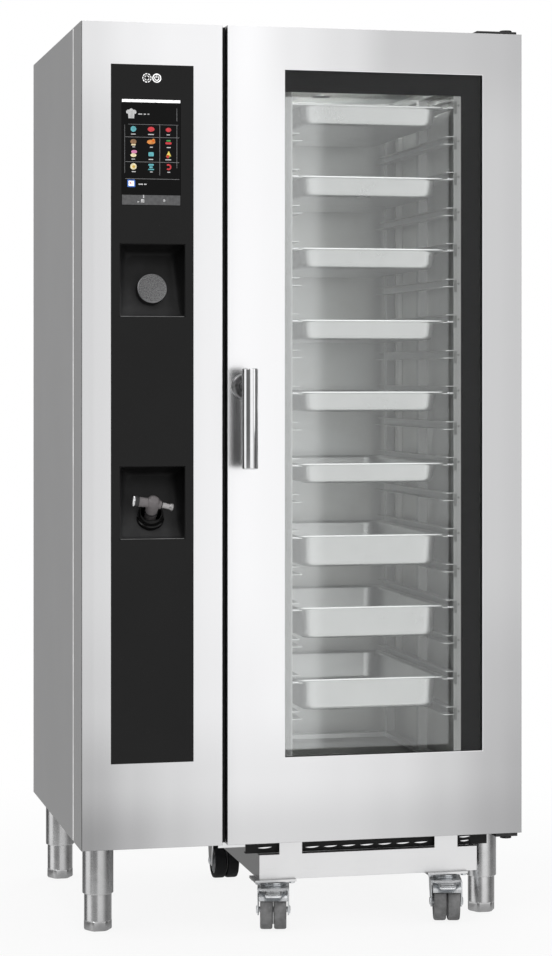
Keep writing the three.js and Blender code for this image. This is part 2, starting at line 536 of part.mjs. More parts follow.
// ---------- adjustable feet ----------
{
  const hex = turned([[0, 0], [27, 0], [30.5, 3], [30.5, 20], [28, 23], [0, 23]], [0, 0, 0], [0, 0, 1], 6);
  const tube = turned([[0, 18], [LEG.tubeR, 18], [LEG.tubeR, 148], [LEG.tubeR - 2, 150], [0, 150]], [0, 0, 0], [0, 0, 1], 28);
  const foot = join(hex, tube);
  const spots = { foot_front_left: [LEG.x, LEG.y0], foot_front_right: [W - LEG.x, LEG.y0], foot_rear_left: [LEG.x, LEG.y1], foot_rear_right: [W - LEG.x, LEG.y1] };
  for (const [name, [x, y]] of Object.entries(spots)) part(name, foot, POLISHED, build, [x, y, 0]);
}

// ---------- trolley ----------
const trolley = new THREE.Group();
const levelZ = (n) => LEVEL_TOP - n * LEVEL_PITCH;
{
  const t = TROLLEY;
  const xl = RACK.cx - RACK.half;
  const xr = RACK.cx + RACK.half;
  const pieces = [
    // chassis: front plate with a folded top, two side members and a rear member
    box(t.x0, t.x1, t.y0, t.y0 + 4, t.z0, t.z1),
    box(t.x0, t.sideX1, t.y0, t.y0 + 44, t.z0, t.z0 + 4),
    box(t.x0, t.sideX1, t.y0, t.y0 + 26, t.z1 - 3, t.z1),
    box(t.x0, t.x0 + 30, t.y0 + 1, t.y1, t.z0, t.z1),
    box(t.sideX1 - 30, t.sideX1, t.y0 + 1, t.y1, t.z0, t.z1),
    box(t.x0 + 5, t.sideX1 - 5, t.y1 - 34, t.y1, t.z0 + 4, t.z1),
    // uprights that stand between the door and the cavity flange, then reach back over its lower edge
    box(428, 477, t.y0, t.y0 + 3, t.z0 + 2, 316),
    box(766, 817, t.y0, t.y0 + 3, t.z0 + 2, 316),
    box(441, 477, t.y0, 100, 306, 316),
    box(766, 817, t.y0, 100, 306, 316),
    // platform
    box(xl, xr, RACK.y0, RACK.y0 + 24, 306, 316),
    box(xl, xr, RACK.y1 - 24, RACK.y1, 306, 316),
    box(xl, xl + 24, RACK.y0, RACK.y1, 306, 316),
    box(xr - 24, xr, RACK.y0, RACK.y1, 306, 316),
  ];
  // Rigid rear casters' brackets are welded to the chassis; the front ones swivel on plates.
  for (const x of [CASTER.xl, CASTER.xr]) {
    pieces.push(box(x - 44, x + 44, CASTER.yFront - 24, CASTER.yFront + 34, t.z0 - 4, t.z0 + 1));
    pieces.push(box(x - 44, x + 44, CASTER.yRear - 44, CASTER.yRear + 44, t.z0 - 4, t.z0 + 1));
    for (const s of [-1, 1]) {
      const xi = x + s * 31.5;
      const cheek = runX(
        [[-26, 93], [26, 93], [12, 30], [-12, 30]].map(([y, z]) => [y + CASTER.yRear, z]),
        xi - 1.5,
        xi + 1.5,
      );
      pieces.push(cheek);
    }
    // pivot stub that the front fork's head turns on
    pieces.push(rod(9, [x, CASTER.yFront, 82], [x, CASTER.yFront, 94], 20));
  }
  const axleHoles = [CASTER.xl, CASTER.xr].map((x) => rod(6.6, [x - 50, CASTER.yRear, CASTER.wheelR], [x + 50, CASTER.yRear, CASTER.wheelR], 16));
  part("trolley_frame", cut(join(pieces), axleHoles), STEEL, trolley);
}
{
  // Rack: six posts, a top frame and a pair of folded ledges for each level, standing on the chassis platform.
  const xl = RACK.cx - RACK.half;
  const xr = RACK.cx + RACK.half;
  const pieces = [
    box(xl, xr, RACK.y0, RACK.y0 + 14, RACK.top - 12, RACK.top),
    box(xl, xr, RACK.y1 - 14, RACK.y1, RACK.top - 12, RACK.top),
  ];
  for (const [a, b] of [[xl, xl + 20], [xr - 20, xr]]) {
    for (const y of [RACK.y0, 352, RACK.y1 - 20]) pieces.push(box(a, b, y, y + 20, 316.3, RACK.top - 1));
    pieces.push(box(a, b, RACK.y0 + 1, RACK.y1 - 1, RACK.top - 12, RACK.top - 2));
  }
  for (let n = 0; n < LEVELS; n++) {
    const z = levelZ(n);
    const a = xr - 18.5;
    const b = xr - 42.5;
    const right = [[b, z - 1.6], [a, z - 1.6], [a, z + 16], [b + 6, z + 16], [b + 6, z + 14.4], [a - 1.6, z + 14.4], [a - 1.6, z], [b, z]];
    const left = right.map(([x, zz]) => [2 * RACK.cx - x, zz]).reverse();
    pieces.push(runY(right, RACK.y0 + 3, RACK.y1 - 3), runY(left, RACK.y0 + 3, RACK.y1 - 3));
  }
  part("pan_rack", join(pieces), STEEL, trolley);
}
{
  // Gastronorm 1/1 pans, 40 mm deep on the upper levels and 65 mm deep on the three lowest loaded levels.
  const pan = (depth) => {
    const w = PAN.w, l = PAN.l, e = 11, t = 0.9;
    const steps = 3;
    return lofted(
      [
        [w - 2 * e - 34, l - 2 * e - 34, 16, -depth + t],
        [w - 2 * e - 12, l - 2 * e - 12, 26, -depth + 9],
        [w - 2 * e - 2, l - 2 * e - 2, 32, -1.5],
        [w - 2 * e + 2, l - 2 * e + 2, 33, 1.1],
        [w, l, 15, 1.1],
        [w, l, 15, -0.6],
        [w - 2 * e + 3.6, l - 2 * e + 3.6, 33, -0.6],
        [w - 2 * e - 9.6, l - 2 * e - 9.6, 27, -depth + 8],
        [w - 2 * e - 33, l - 2 * e - 33, 16.5, -depth],
      ].reverse(),
      steps,
    );
  };
  const shallow = pan(40);
  const deep = pan(65);
  for (let i = 0; i < 9; i++)
    part(`pan_${i + 1}`, i < 6 ? shallow : deep, STEEL, trolley, [RACK.cx, PAN.y0 + PAN.l / 2, levelZ(2 * i) + 1]);
}
build.add(trolley);

// ---------- casters ----------
{
  const c = CASTER;
  // Swivelling fork at the origin of its pivot; it trails towards the front.
  const cheek = (s) =>
    runX([[-c.trail - 12, 30], [-c.trail + 12, 30], [20, 84], [-c.trail - 18, 84], [-c.trail - 18, 62]], s * 31.5 - 1.5, s * 31.5 + 1.5);
  const fork = cut(
    join(
      cheek(-1),
      cheek(1),
      box(-33, 33, -c.trail - 18, 20, 81.6, 84.2),
      rod(21, [0, 0, 83], [0, 0, 91], 24),
    ),
    rod(6.6, [-50, -c.trail, c.wheelR], [50, -c.trail, c.wheelR], 16),
    rod(9.6, [0, 0, 70], [0, 0, 100], 20),
  );
  const wheel = join(
    turned([[0, 4], [37, 4], [40, 7], [40, 24], [37, 27.5], [27, 26], [0, 26]], [0, 0, 0], [1, 0, 0], 24),
    turned([[0, 4], [37, 4], [40, 7], [40, 24], [37, 27.5], [27, 26], [0, 26]], [0, 0, 0], [-1, 0, 0], 24),
    rod(6, [-34, 0, 0], [34, 0, 0], 12),
  );
  const brake = join(
    runX([[-c.trail - 20.5, 83.5], [-c.trail - 20.5, 86], [-c.trail - 34, 85], [-c.trail - 52, 76], [-c.trail - 51, 73.6], [-c.trail - 34, 82.4]], -17, 17),
    runX([[-c.trail - 20.5, 83.5], [-c.trail - 20.5, 86], [-c.trail - 26, 85.5], [-c.trail - 26, 83.1]], -30, 30),
  );
  // Both front casters stand turned a little to the left, the way they came to rest.
  const a = (c.swivel * Math.PI) / 180;
  const swung = (s) => s.rotate([0, 0, c.swivel]);
  for (const [tag, x] of [["left", c.xl], ["right", c.xr]]) {
    part(`caster_fork_front_${tag}`, swung(fork), ZINC, build, [x, c.yFront, 0]);
    part(`caster_wheel_front_${tag}`, swung(wheel), WHEEL, build, [x + c.trail * Math.sin(a), c.yFront - c.trail * Math.cos(a), c.wheelR]);
    part(`caster_wheel_rear_${tag}`, wheel, WHEEL, build, [x, c.yRear, c.wheelR]);
    part(`caster_brake_${tag}`, swung(brake), ZINC, build, [x, c.yFront, 0]);
  }
}

// The origin is the centre of the whole footprint on the floor: the handle is the front extent, the side panels the rear.
const FRONT = HANDLE.y - HANDLE.r;
build.position.set(-W / 2, -(FRONT + D) / 2, 0);
const oven = new THREE.Group();
oven.add(build);
export default oven;
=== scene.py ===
# Combi steamer oven: finishes, detailed pieces, light, floor and camera round its CAD frame.
# Drawing frame, in millimetres: x to the right from the left side panel, y backwards from the
# front skin, z up from the floor. The control column is on the left, the door on the right.
import math
import random

import bmesh
import bpy
from mathutils import Matrix, Vector


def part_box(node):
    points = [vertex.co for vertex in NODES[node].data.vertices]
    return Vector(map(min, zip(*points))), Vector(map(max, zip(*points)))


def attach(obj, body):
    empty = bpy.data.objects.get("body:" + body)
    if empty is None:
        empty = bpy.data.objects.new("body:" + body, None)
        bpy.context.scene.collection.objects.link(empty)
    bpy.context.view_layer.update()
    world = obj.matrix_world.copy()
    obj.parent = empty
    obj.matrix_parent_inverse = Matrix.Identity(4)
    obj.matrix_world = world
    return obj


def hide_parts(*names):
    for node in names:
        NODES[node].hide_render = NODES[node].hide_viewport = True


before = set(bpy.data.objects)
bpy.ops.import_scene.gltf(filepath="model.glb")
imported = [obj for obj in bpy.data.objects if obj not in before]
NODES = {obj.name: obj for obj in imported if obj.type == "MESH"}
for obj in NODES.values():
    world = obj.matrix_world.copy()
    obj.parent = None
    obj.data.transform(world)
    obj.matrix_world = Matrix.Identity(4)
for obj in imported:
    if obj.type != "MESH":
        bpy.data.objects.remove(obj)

random.seed(7)
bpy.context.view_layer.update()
ORIGIN_X, ORIGIN_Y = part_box("control_fascia")[0][:2]

RIGHT, BACK, FRONT = (1, 0, 0), (0, 1, 0), (0, -1, 0)
UP, DOWN = (0, 0, 1), (0, 0, -1)

# Body, metres
BODY_WIDTH = 0.937
BODY_BOTTOM = 0.185
BODY_HEIGHT = 1.685

# Recesses of the control column
RECESS_LEFT, RECESS_RIGHT = 78.5, 214.5
RECESS_HEIGHT = 149.5
DIAL_RECESS_Z = 1269.5
SHOWER_RECESS_Z = 815.5


def spot(x, y, z):
    """Point of the drawing frame, in scene metres."""
    return Vector((ORIGIN_X + x / 1000, ORIGIN_Y + y / 1000, z / 1000))


def facing(origin, axis=UP, side=None):
    """Matrix at origin (metres) whose local z is axis and whose local x leans to side."""
    z = Vector(axis).normalized()
    x = Vector(side or (RIGHT if abs(z.x) < 0.9 else BACK))
    x = (x - z * x.dot(z)).normalized()
    place = Matrix((x, z.cross(x), z)).transposed().to_4x4()
    place.translation = origin
    return place


def on_front(x, z, y=0.0):
    """Local x to the right, local y up, local z towards the viewer."""
    return facing(spot(x, y, z), FRONT)


# ------------------------------------------------------------------ shader building
MATERIALS = {}


def rgba(color):
    """Opaque colour from a grey value or a red, green, blue triple."""
    return (color, color, color, 1.0) if isinstance(color, float) else (*color, 1.0)


class Graph:
    """Shader tree; an input takes a value, a socket, or a node for its first output."""

    def __init__(self, owner):
        owner.use_nodes = True
        self.tree = owner.node_tree
        self.tree.nodes.clear()

    def put(self, target, value):
        if isinstance(value, bpy.types.Node):
            value = value.outputs[0]
        if isinstance(value, bpy.types.NodeSocket):
            self.tree.links.new(value, target)
        else:
            target.default_value = value

    def add(self, kind, inputs=None, **settings):
        node = self.tree.nodes.new("ShaderNode" + kind)
        for key, value in settings.items():
            setattr(node, key, value)
        for key, value in (inputs or {}).items():
            self.put(node.inputs[key], value)
        return node

    def calc(self, operation, *values, **settings):
        return self.add("Math", dict(enumerate(values)), operation=operation, **settings)

    def blend(self, factor, first, second, blend_type="MIX"):
        """Colour mix; sockets 0, 6, 7 and output 2 are the colour ones of the node."""
        inputs = {0: factor, 6: first, 7: second}
        return self.add("Mix", inputs, data_type="RGBA", blend_type=blend_type).outputs[2]

    def mix_shaders(self, factor, first, second):
        return self.add("MixShader", {0: factor, 1: first, 2: second})

    def split(self, vector):
        return self.add("SeparateXYZ", {0: vector}).outputs

    def remap(self, value, low=0.0, high=1.0, to_low=0.0, to_high=1.0, smooth=False):
        return self.add(
            "MapRange",
            {"Value": value, "From Min": low, "From Max": high, "To Min": to_low, "To Max": to_high},
            interpolation_type="SMOOTHSTEP" if smooth else "LINEAR",
        )

    def noise(self, vector, scale, detail, roughness=0.5):
        return self.add("TexNoise", {
            "Vector": vector, "Scale": scale, "Detail": detail, "Roughness": roughness,
        })

    def ramp(self, source, stops, interpolation="EASE"):
        node = self.add("ValToRGB", {0: source})
        node.color_ramp.interpolation = interpolation
        elements = node.color_ramp.elements
        while len(elements) < len(stops):
            elements.new(1.0)
        for element, (position, color) in zip(elements, stops):
            element.position = position
            element.color = rgba(color)
        return node


def new_material(name):
    """Empty material: its graph and the surface input of its output."""
    material = MATERIALS[name] = bpy.data.materials.new(name)
    graph = Graph(material)
    return graph, graph.add("OutputMaterial").inputs["Surface"]


def painted_front_light(graph, coords, color, rows, aside):
    """Painted light and shade over the front: a slow change of tone; folds that look sideways get
    painted side shade.
    """
    place = graph.split(coords.outputs["Object"])
    across = graph.remap(place["X"], ORIGIN_X, ORIGIN_X + BODY_WIDTH)
    tone = None
    for low, high, stops in rows:
        row = graph.ramp(across, [(p, (v, v, v * 1.006)) for p, v in stops])
        if tone is None:
            tone = row
            continue
        up = graph.remap(
            place["Z"],
            BODY_BOTTOM + low * BODY_HEIGHT,
            BODY_BOTTOM + high * BODY_HEIGHT,
            smooth=True,
        )
        tone = graph.blend(up, tone, row)
    # faces that look sideways get painted shade instead of the front's painted light
    normal = graph.split(coords.outputs["Normal"])
    frontal = graph.calc("MULTIPLY", normal["Y"], -1.0, use_clamp=True)
    sided = graph.blend(frontal, rgba(aside), tone)
    return graph.blend(1.0, color, sided, "MULTIPLY")


def textured(
    name, color, rough, metallic, grain, rough_spread, bump, mottle, mottle_scale,
    fine=400.0, bump_distance=0.0002, edge=0.0, specular=0.5, tint=None, emission=None,
    shade=(), front=None, aside=0.76,
):
    """Base finish: soft mottling, a fine or brushed grain and softened edges; where asked, painted
    light and shade in the colour.
    """
    color = rgba(color)[:3]
    graph, surface = new_material(name)
    shader = graph.add("BsdfPrincipled", {
        "Metallic": metallic,
        "Roughness": rough,
        "Base Color": rgba(color),
        "Specular IOR Level": specular,
    })
    graph.put(surface, shader)
    if emission:
        graph.put(shader.inputs["Emission Color"], rgba(color))
        graph.put(shader.inputs["Emission Strength"], emission)
    coords = graph.add("TexCoord")
    # mottling, like wiped-over metal or handled plastic
    clouds = graph.noise(coords.outputs["Object"], scale=mottle_scale, detail=4.0, roughness=0.6)
    dark = [c * (1 - mottle) for c in color]
    light = [min(1.0, c * (1 + mottle * 0.5)) for c in color]
    if tint:
        dark = [d * 0.6 + c * 0.4 for d, c in zip(dark, tint)]
    tone = graph.ramp(clouds, [(0.3, dark), (0.7, light)])
    if shade:
        # painted light and shade: slow change of tone along the object's axes
        place = graph.split(coords.outputs["Object"])
        for axis, low, high, stops in shade:
            row = graph.ramp(graph.remap(place[axis], low, high), stops)
            tone = graph.blend(1.0, tone, row, "MULTIPLY")
    # painted light and shade over the front sheets, painted shade on their sideways folds
    elif front:
        tone = painted_front_light(graph, coords, tone, front, aside)
    graph.put(shader.inputs["Base Color"], tone)
    # grain: long along its axis, fine across it
    if grain:
        scale = [5 if axis == grain else 1100 for axis in "xyz"]
    else:
        scale = [fine] * 3
    mapping = graph.add("Mapping", {"Vector": coords.outputs["Object"], "Scale": scale})
    grains = graph.noise(mapping, scale=1.0, detail=3.0, roughness=0.7)
    grained = graph.remap(grains, to_low=rough - rough_spread, to_high=rough + rough_spread)
    clouded = graph.calc("MULTIPLY_ADD", clouds, 0.12, grained)
    graph.put(shader.inputs["Roughness"], graph.calc("SUBTRACT", clouded, 0.06))
    relief = graph.add("Bump", {"Strength": bump, "Distance": bump_distance, "Height": grains})
    if edge:
        bevel = graph.add("Bevel", {"Radius": edge}, samples=4)
        graph.put(relief.inputs["Normal"], bevel)
    graph.put(shader.inputs["Normal"], relief)
    return graph, shader


def glass(name, tint, reflect, rough=0.02, painted_reflection_streak=None):
    """Thin pane; the painted reflection band is (start x, end x, strength at the start) of its
    reflection.
    """
    graph, surface = new_material(name)
    through = graph.add("BsdfTransparent", {"Color": rgba(tint)})
    gloss = graph.add("BsdfGlossy", {"Color": rgba(1.0), "Roughness": rough})
    coords = graph.add("TexCoord")
    clouds = graph.noise(coords.outputs["Object"], scale=2.5, detail=3.0)
    smear = graph.remap(clouds, to_low=rough, to_high=rough + 0.06)
    graph.put(gloss.inputs["Roughness"], smear)
    fresnel = graph.add("Fresnel", {"IOR": 1.45})
    mirrored = graph.calc("MULTIPLY", fresnel, reflect)
    if painted_reflection_streak:
        # painted reflection: the pane mirrors no more from aslant than from the front, and more
        # towards the band's start
        start, end, strength = painted_reflection_streak
        graph.put(mirrored.inputs[0], graph.calc("MINIMUM", fresnel, 0.036))
        place = graph.split(coords.outputs["Object"])
        across = graph.remap(place["X"], start, end, strength, reflect, smooth=True)
        graph.put(mirrored.inputs[1], across)
    graph.put(surface, graph.mix_shaders(mirrored, through, gloss))


def glow(name, color, strength):
    """Lit symbol or lamp, slightly uneven; also strips that glow as painted light."""
    color = rgba(color)[:3]
    graph, surface = new_material(name)
    shader = graph.add("BsdfPrincipled", {"Roughness": 0.4, "Emission Strength": strength})
    graph.put(surface, shader)
    clouds = graph.noise(graph.add("TexCoord").outputs["Object"], scale=160.0, detail=2.0)
    dark = [c * 0.72 for c in color]
    light = [min(1.0, c * 1.12) for c in color]
    tone = graph.ramp(clouds, [(0.25, dark), (0.75, light)])
    graph.put(shader.inputs["Base Color"], tone)
    graph.put(shader.inputs["Emission Color"], tone)


# ------------------------------------------------------------------ finishes
# Painted light and shade of the front sheets, row over row: the heights (share of the body) between
# which the row fades in over the one below, then (share of the width, tone). The first row is the
# ground.
FRONT_PAINTED_LIGHT = [
    (0, 0, [
        (0.021, 0.33), (0.033, 0.345), (0.113, 0.46), (0.204, 0.58), (0.291, 0.65), (0.36, 0.70),
        (0.442, 0.70), (0.592, 0.68), (0.707, 0.62), (0.821, 0.54), (0.935, 0.44), (0.992, 0.41),
    ]),
    (0.012, 0.083, [
        (0.021, 0.47), (0.033, 0.49), (0.113, 0.62), (0.204, 0.70), (0.291, 0.755), (0.36, 0.84),
        (0.478, 0.83), (0.592, 0.79), (0.707, 0.745), (0.821, 0.645), (0.935, 0.51),
        (0.992, 0.456),
    ]),
    (0.083, 0.18, [
        (0.021, 0.60), (0.033, 0.631), (0.113, 0.72), (0.204, 0.80), (0.291, 0.855),
        (0.36, 0.905), (0.442, 0.93), (0.592, 0.85), (0.707, 0.78), (0.821, 0.68), (0.935, 0.53),
        (0.992, 0.50),
    ]),
    (0.18, 0.34, [
        (0.021, 0.67), (0.033, 0.70), (0.113, 0.76), (0.204, 0.83), (0.291, 0.89), (0.36, 0.965),
        (0.442, 0.94), (0.592, 0.82), (0.707, 0.70), (0.821, 0.66), (0.935, 0.61), (0.992, 0.58),
    ]),
    (0.86, 0.975, [
        (0.021, 0.79), (0.113, 0.88), (0.204, 0.92), (0.291, 0.92), (0.364, 0.99), (0.478, 0.85),
        (0.592, 0.76), (0.707, 0.60), (0.821, 0.58), (0.935, 0.545), (0.992, 0.515),
    ]),
]
# Painted shade and highlight for the pieces that get it: axis, start and end in metres, then (share of
# the way, tone)
# painted shade on the rack: the left post darkest, the right posts darker than the ledges, all behind
# the front darker
RACK_SHADE = [
    ("X", ORIGIN_X + 0.440, ORIGIN_X + 0.834, [
        (0.0, 0.36), (0.046, 0.36), (0.05, 1.0), (0.948, 1.0), (0.952, 0.6), (1.0, 0.6),
    ]),
    ("Y", ORIGIN_Y + 0.108, ORIGIN_Y + 0.640, [(0.0, 1.0), (0.03, 0.75), (1.0, 0.75)]),
]
# painted highlight and shade on the legs: a bright line and a dark right edge on the left legs, the
# right legs a little darker, the feet darker
FOOT_SHADE = [
    ("X", ORIGIN_X, ORIGIN_X + BODY_WIDTH, [
        (0.0, 0.8), (0.0213, 0.8), (0.034, 0.86), (0.039, 1.1), (0.044, 0.92), (0.058, 0.68),
        (0.072, 0.70), (0.082, 0.58), (0.0885, 0.16), (0.12, 0.85), (1.0, 0.85),
    ]),
    ("Z", 0.0, BODY_BOTTOM, [(0.0, 0.62), (0.09, 0.66), (0.11, 1.0), (1.0, 1.0)]),
]
# Name, colour, roughness, metallic, grain axis, roughness spread, bump strength,
# mottle amount, mottle scale, other settings of textured()
FINISHES = [
    # front steel: painted light and shade over its face, painted shade on its sideways folds
    ("steel_front", (0.98, 0.98, 0.985), 0.24, 1.0, "z", 0.04, 0.025, 0.015, 1.6,
     dict(edge=0.0014, front=FRONT_PAINTED_LIGHT, aside=0.66)),
    ("steel_side", (0.80, 0.80, 0.805), 0.38, 1.0, "z", 0.07, 0.07, 0.04, 1.4,
     dict(edge=0.0012)),
    ("steel_across", (0.82, 0.825, 0.83), 0.3, 1.0, "x", 0.07, 0.08, 0.05, 4,
     dict(edge=0.001)),
    ("steel_back", (0.62, 0.625, 0.63), 0.45, 1.0, "z", 0.08, 0.1, 0.1, 3, dict(edge=0.001)),
    ("steel_cavity", (0.76, 0.775, 0.765), 0.42, 1.0, "z", 0.06, 0.08, 0.08, 4,
     dict(tint=(0.62, 0.60, 0.55))),
    ("steel_door_inner", (0.66, 0.662, 0.66), 0.4, 1.0, "z", 0.08, 0.1, 0.12, 4,
     dict(tint=(0.5, 0.44, 0.34), edge=0.0008)),
    ("pan_steel", (0.88, 0.885, 0.88), 0.3, 1.0, None, 0.05, 0.04, 0.04, 9, dict(fine=160)),
    # rack steel with painted shade on its posts and its rear part
    ("rack_steel", (0.885, 0.89, 0.885), 0.42, 1.0, "y", 0.06, 0.06, 0.08, 8,
     dict(edge=0.0008, shade=RACK_SHADE)),
    # dark copy of the rack steel: painted shade for the ledge notches
    ("stop_steel", (0.34, 0.345, 0.34), 0.4, 1.0, None, 0.06, 0.08, 0.15, 30, dict(fine=700)),
    # trolley steel: painted shade on its sideways faces
    ("trolley_steel", 0.80, 0.3, 1.0, "x", 0.06, 0.06, 0.05, 4,
     dict(edge=0.0012, front=[(0, 0, [(0.0, 1.0), (1.0, 0.98)])], aside=0.45)),
    ("polished_steel", (0.86, 0.86, 0.87), 0.16, 1.0, "z", 0.04, 0.03, 0.05, 10, {}),
    # leg steel with painted highlight and shade
    ("foot_steel", (0.80, 0.80, 0.805), 0.27, 1.0, "z", 0.04, 0.05, 0.10, 22,
     dict(shade=FOOT_SHADE)),
    ("zinc", (0.70, 0.715, 0.73), 0.28, 1.0, None, 0.08, 0.08, 0.2, 40,
     dict(fine=900, edge=0.0006)),
    ("black_glass", 0.006, 0.16, 0.0, None, 0.04, 0.01, 0.3, 2.2,
     dict(fine=60, edge=0.0006, specular=0.2)),
    ("screen_glass", 0.003, 0.14, 0.0, None, 0.03, 0.01, 0.2, 3, dict(fine=60, specular=0.1)),
    ("black_moulding", (0.028, 0.028, 0.029), 0.42, 0.0, None, 0.07, 0.06, 0.25, 18,
     dict(fine=900, bump_distance=0.0001)),
    ("black_paint", 0.012, 0.4, 0.0, None, 0.08, 0.1, 0.3, 30, dict(fine=700, edge=0.0007)),
    ("grey_moulding", (0.19, 0.175, 0.178), 0.38, 0.0, None, 0.08, 0.08, 0.15, 40,
     dict(fine=1200, bump_distance=0.0001)),
    ("black_rubber", 0.02, 0.62, 0.0, None, 0.1, 0.2, 0.3, 30, dict(fine=600)),
    ("grey_tyre", (0.22, 0.22, 0.222), 0.55, 0.0, None, 0.1, 0.2, 0.35, 45, dict(fine=800)),
    # near-black copy of the tyre: painted shade for the rear wheels under the oven
    ("dark_tyre", (0.010, 0.010, 0.011), 0.7, 0.0, None, 0.1, 0.2, 0.35, 45,
     dict(fine=800, specular=0.2)),
    ("wheel_hub", (0.34, 0.345, 0.355), 0.4, 0.0, None, 0.08, 0.1, 0.2, 40, dict(fine=800)),
    ("enamel", (0.12, 0.14, 0.165), 0.45, 0.1, None, 0.1, 0.15, 0.25, 14, dict(fine=300)),
    ("heater_sheath", (0.16, 0.15, 0.14), 0.5, 0.7, None, 0.1, 0.2, 0.4, 30, dict(fine=700)),
    ("hose_cover", (0.04, 0.04, 0.045), 0.55, 0.0, None, 0.1, 0.5, 0.3, 60,
     dict(fine=1500, bump_distance=0.0006)),
    ("black_print", (0.010, 0.010, 0.0105), 0.5, 0.0, None, 0.05, 0.02, 0.2, 3,
     dict(fine=300, specular=0.1)),
    # light grey for the recess sills, a painted highlight
    ("recess_lip", 0.20, 0.3, 0.0, None, 0.06, 0.03, 0.4, 30, dict(fine=600)),
    ("seam_shadow", 0.10, 0.6, 0.3, "z", 0.08, 0.1, 0.3, 12, {}),
    # glowing bead: painted highlight on the fascia joint
    ("joint_bead", (0.86, 0.86, 0.85), 0.5, 0.0, None, 0.08, 0.1, 0.55, 14,
     dict(fine=500, emission=0.75)),
    # near black that stands in for shade in gaps and under the door
    ("dark_seal", 0.006, 0.7, 0.0, None, 0.1, 0.2, 0.3, 20, dict(fine=500)),
    ("dial_face", (0.23, 0.23, 0.233), 0.5, 0.8, None, 0.12, 1.0, 0.85, 520,
     dict(fine=700, bump_distance=0.0006)),
    ("dial_rim", (0.22, 0.22, 0.225), 0.3, 1.0, None, 0.05, 0.05, 0.1, 60, dict(fine=900)),
    ("rose_steel", (0.30, 0.30, 0.305), 0.3, 1.0, None, 0.08, 0.25, 0.5, 70,
     dict(fine=900, edge=0.0008, bump_distance=0.0004)),
    ("lever_metal", (0.42, 0.41, 0.41), 0.34, 0.9, None, 0.06, 0.08, 0.15, 60,
     dict(fine=900)),
    ("collar_black", 0.005, 0.25, 0.0, None, 0.05, 0.03, 0.2, 30,
     dict(fine=900, specular=0.25)),
]
for *look, more in FINISHES:
    textured(*look, **more)


def handle_finish_with_painted_shade():
    """Polished bar whose far side, towards the door, is darkened with painted shade."""
    graph, shader = textured(
        "handle_steel", color=(0.86, 0.86, 0.87), rough=0.15, metallic=1.0, grain="z",
        rough_spread=0.03, bump=0.03, mottle=0.05, mottle_scale=10,
    )
    base = shader.inputs["Base Color"]
    plain = base.links[0].from_socket
    normal = graph.split(graph.add("TexCoord").outputs["Normal"])
    # painted shade on the side of the bar that faces the door
    behind = graph.remap(normal["Y"], low=0.05, high=0.45, smooth=True)
    graph.put(base, graph.blend(behind, plain, rgba((0.07, 0.07, 0.072))))


def recess_finish_painted_shade(name, bottom):
    """Dark moulding with painted shade: darker upwards and to the right."""
    textured(
        name, color=(0.062, 0.062, 0.063), rough=0.5, metallic=0.0, grain=None,
        rough_spread=0.06, bump=0.05, mottle=0.2, mottle_scale=20,
        fine=900, bump_distance=0.0001, specular=0.16,
        # painted shade: darker towards the top and the right of the recess
        shade=[
            ("Z", bottom / 1000, (bottom + RECESS_HEIGHT) / 1000,
             [(0.0, 1.0), (0.25, 0.75), (0.6, 0.4), (1.0, 0.16)]),
            ("X", ORIGIN_X + RECESS_LEFT / 1000, ORIGIN_X + RECESS_RIGHT / 1000,
             [(0.0, 1.0), (0.7, 0.85), (0.86, 0.5), (1.0, 0.2)]),
        ],
    )


handle_finish_with_painted_shade()
glass("door_glass_outer", tint=(0.975, 0.98, 0.98), reflect=0.3)
# inner pane: strong reflection with a painted reflection band at its left
glass(
    "door_glass_inner", tint=(0.98, 0.985, 0.985), reflect=2.2, rough=0.05,
    painted_reflection_streak=(ORIGIN_X + 0.492, ORIGIN_X + 0.530, 5.6),
)
# Name, colour, emission strength
GLOWS = [
    # the door edge strips glow as painted light, they are no lamp
    ("door_edge_light", (0.62, 0.625, 0.62), 0.22),
    ("ui_white", 0.86, 0.75),
    ("ui_grey", (0.09, 0.09, 0.092), 0.25),
    ("ui_line", (0.20, 0.20, 0.205), 0.35),
    ("ui_soft", 0.45, 0.5),
    ("ui_teal", (0.10, 0.38, 0.42), 0.4),
    ("ui_red", (0.55, 0.03, 0.04), 0.4),
    ("ui_orange", (0.62, 0.22, 0.04), 0.4),
    ("ui_cream", (0.75, 0.66, 0.42), 0.4),
    ("ui_green", (0.05, 0.32, 0.07), 0.4),
    ("ui_brown", (0.24, 0.13, 0.06), 0.4),
    ("ui_pink", (0.66, 0.22, 0.42), 0.4),
    ("ui_yellow", (0.75, 0.60, 0.12), 0.4),
    ("ui_blue", (0.05, 0.16, 0.55), 0.4),
    ("lamp_strip", (0.62, 0.62, 0.61), 0.2),
]
for name, color, strength in GLOWS:
    glow(name, color, strength)

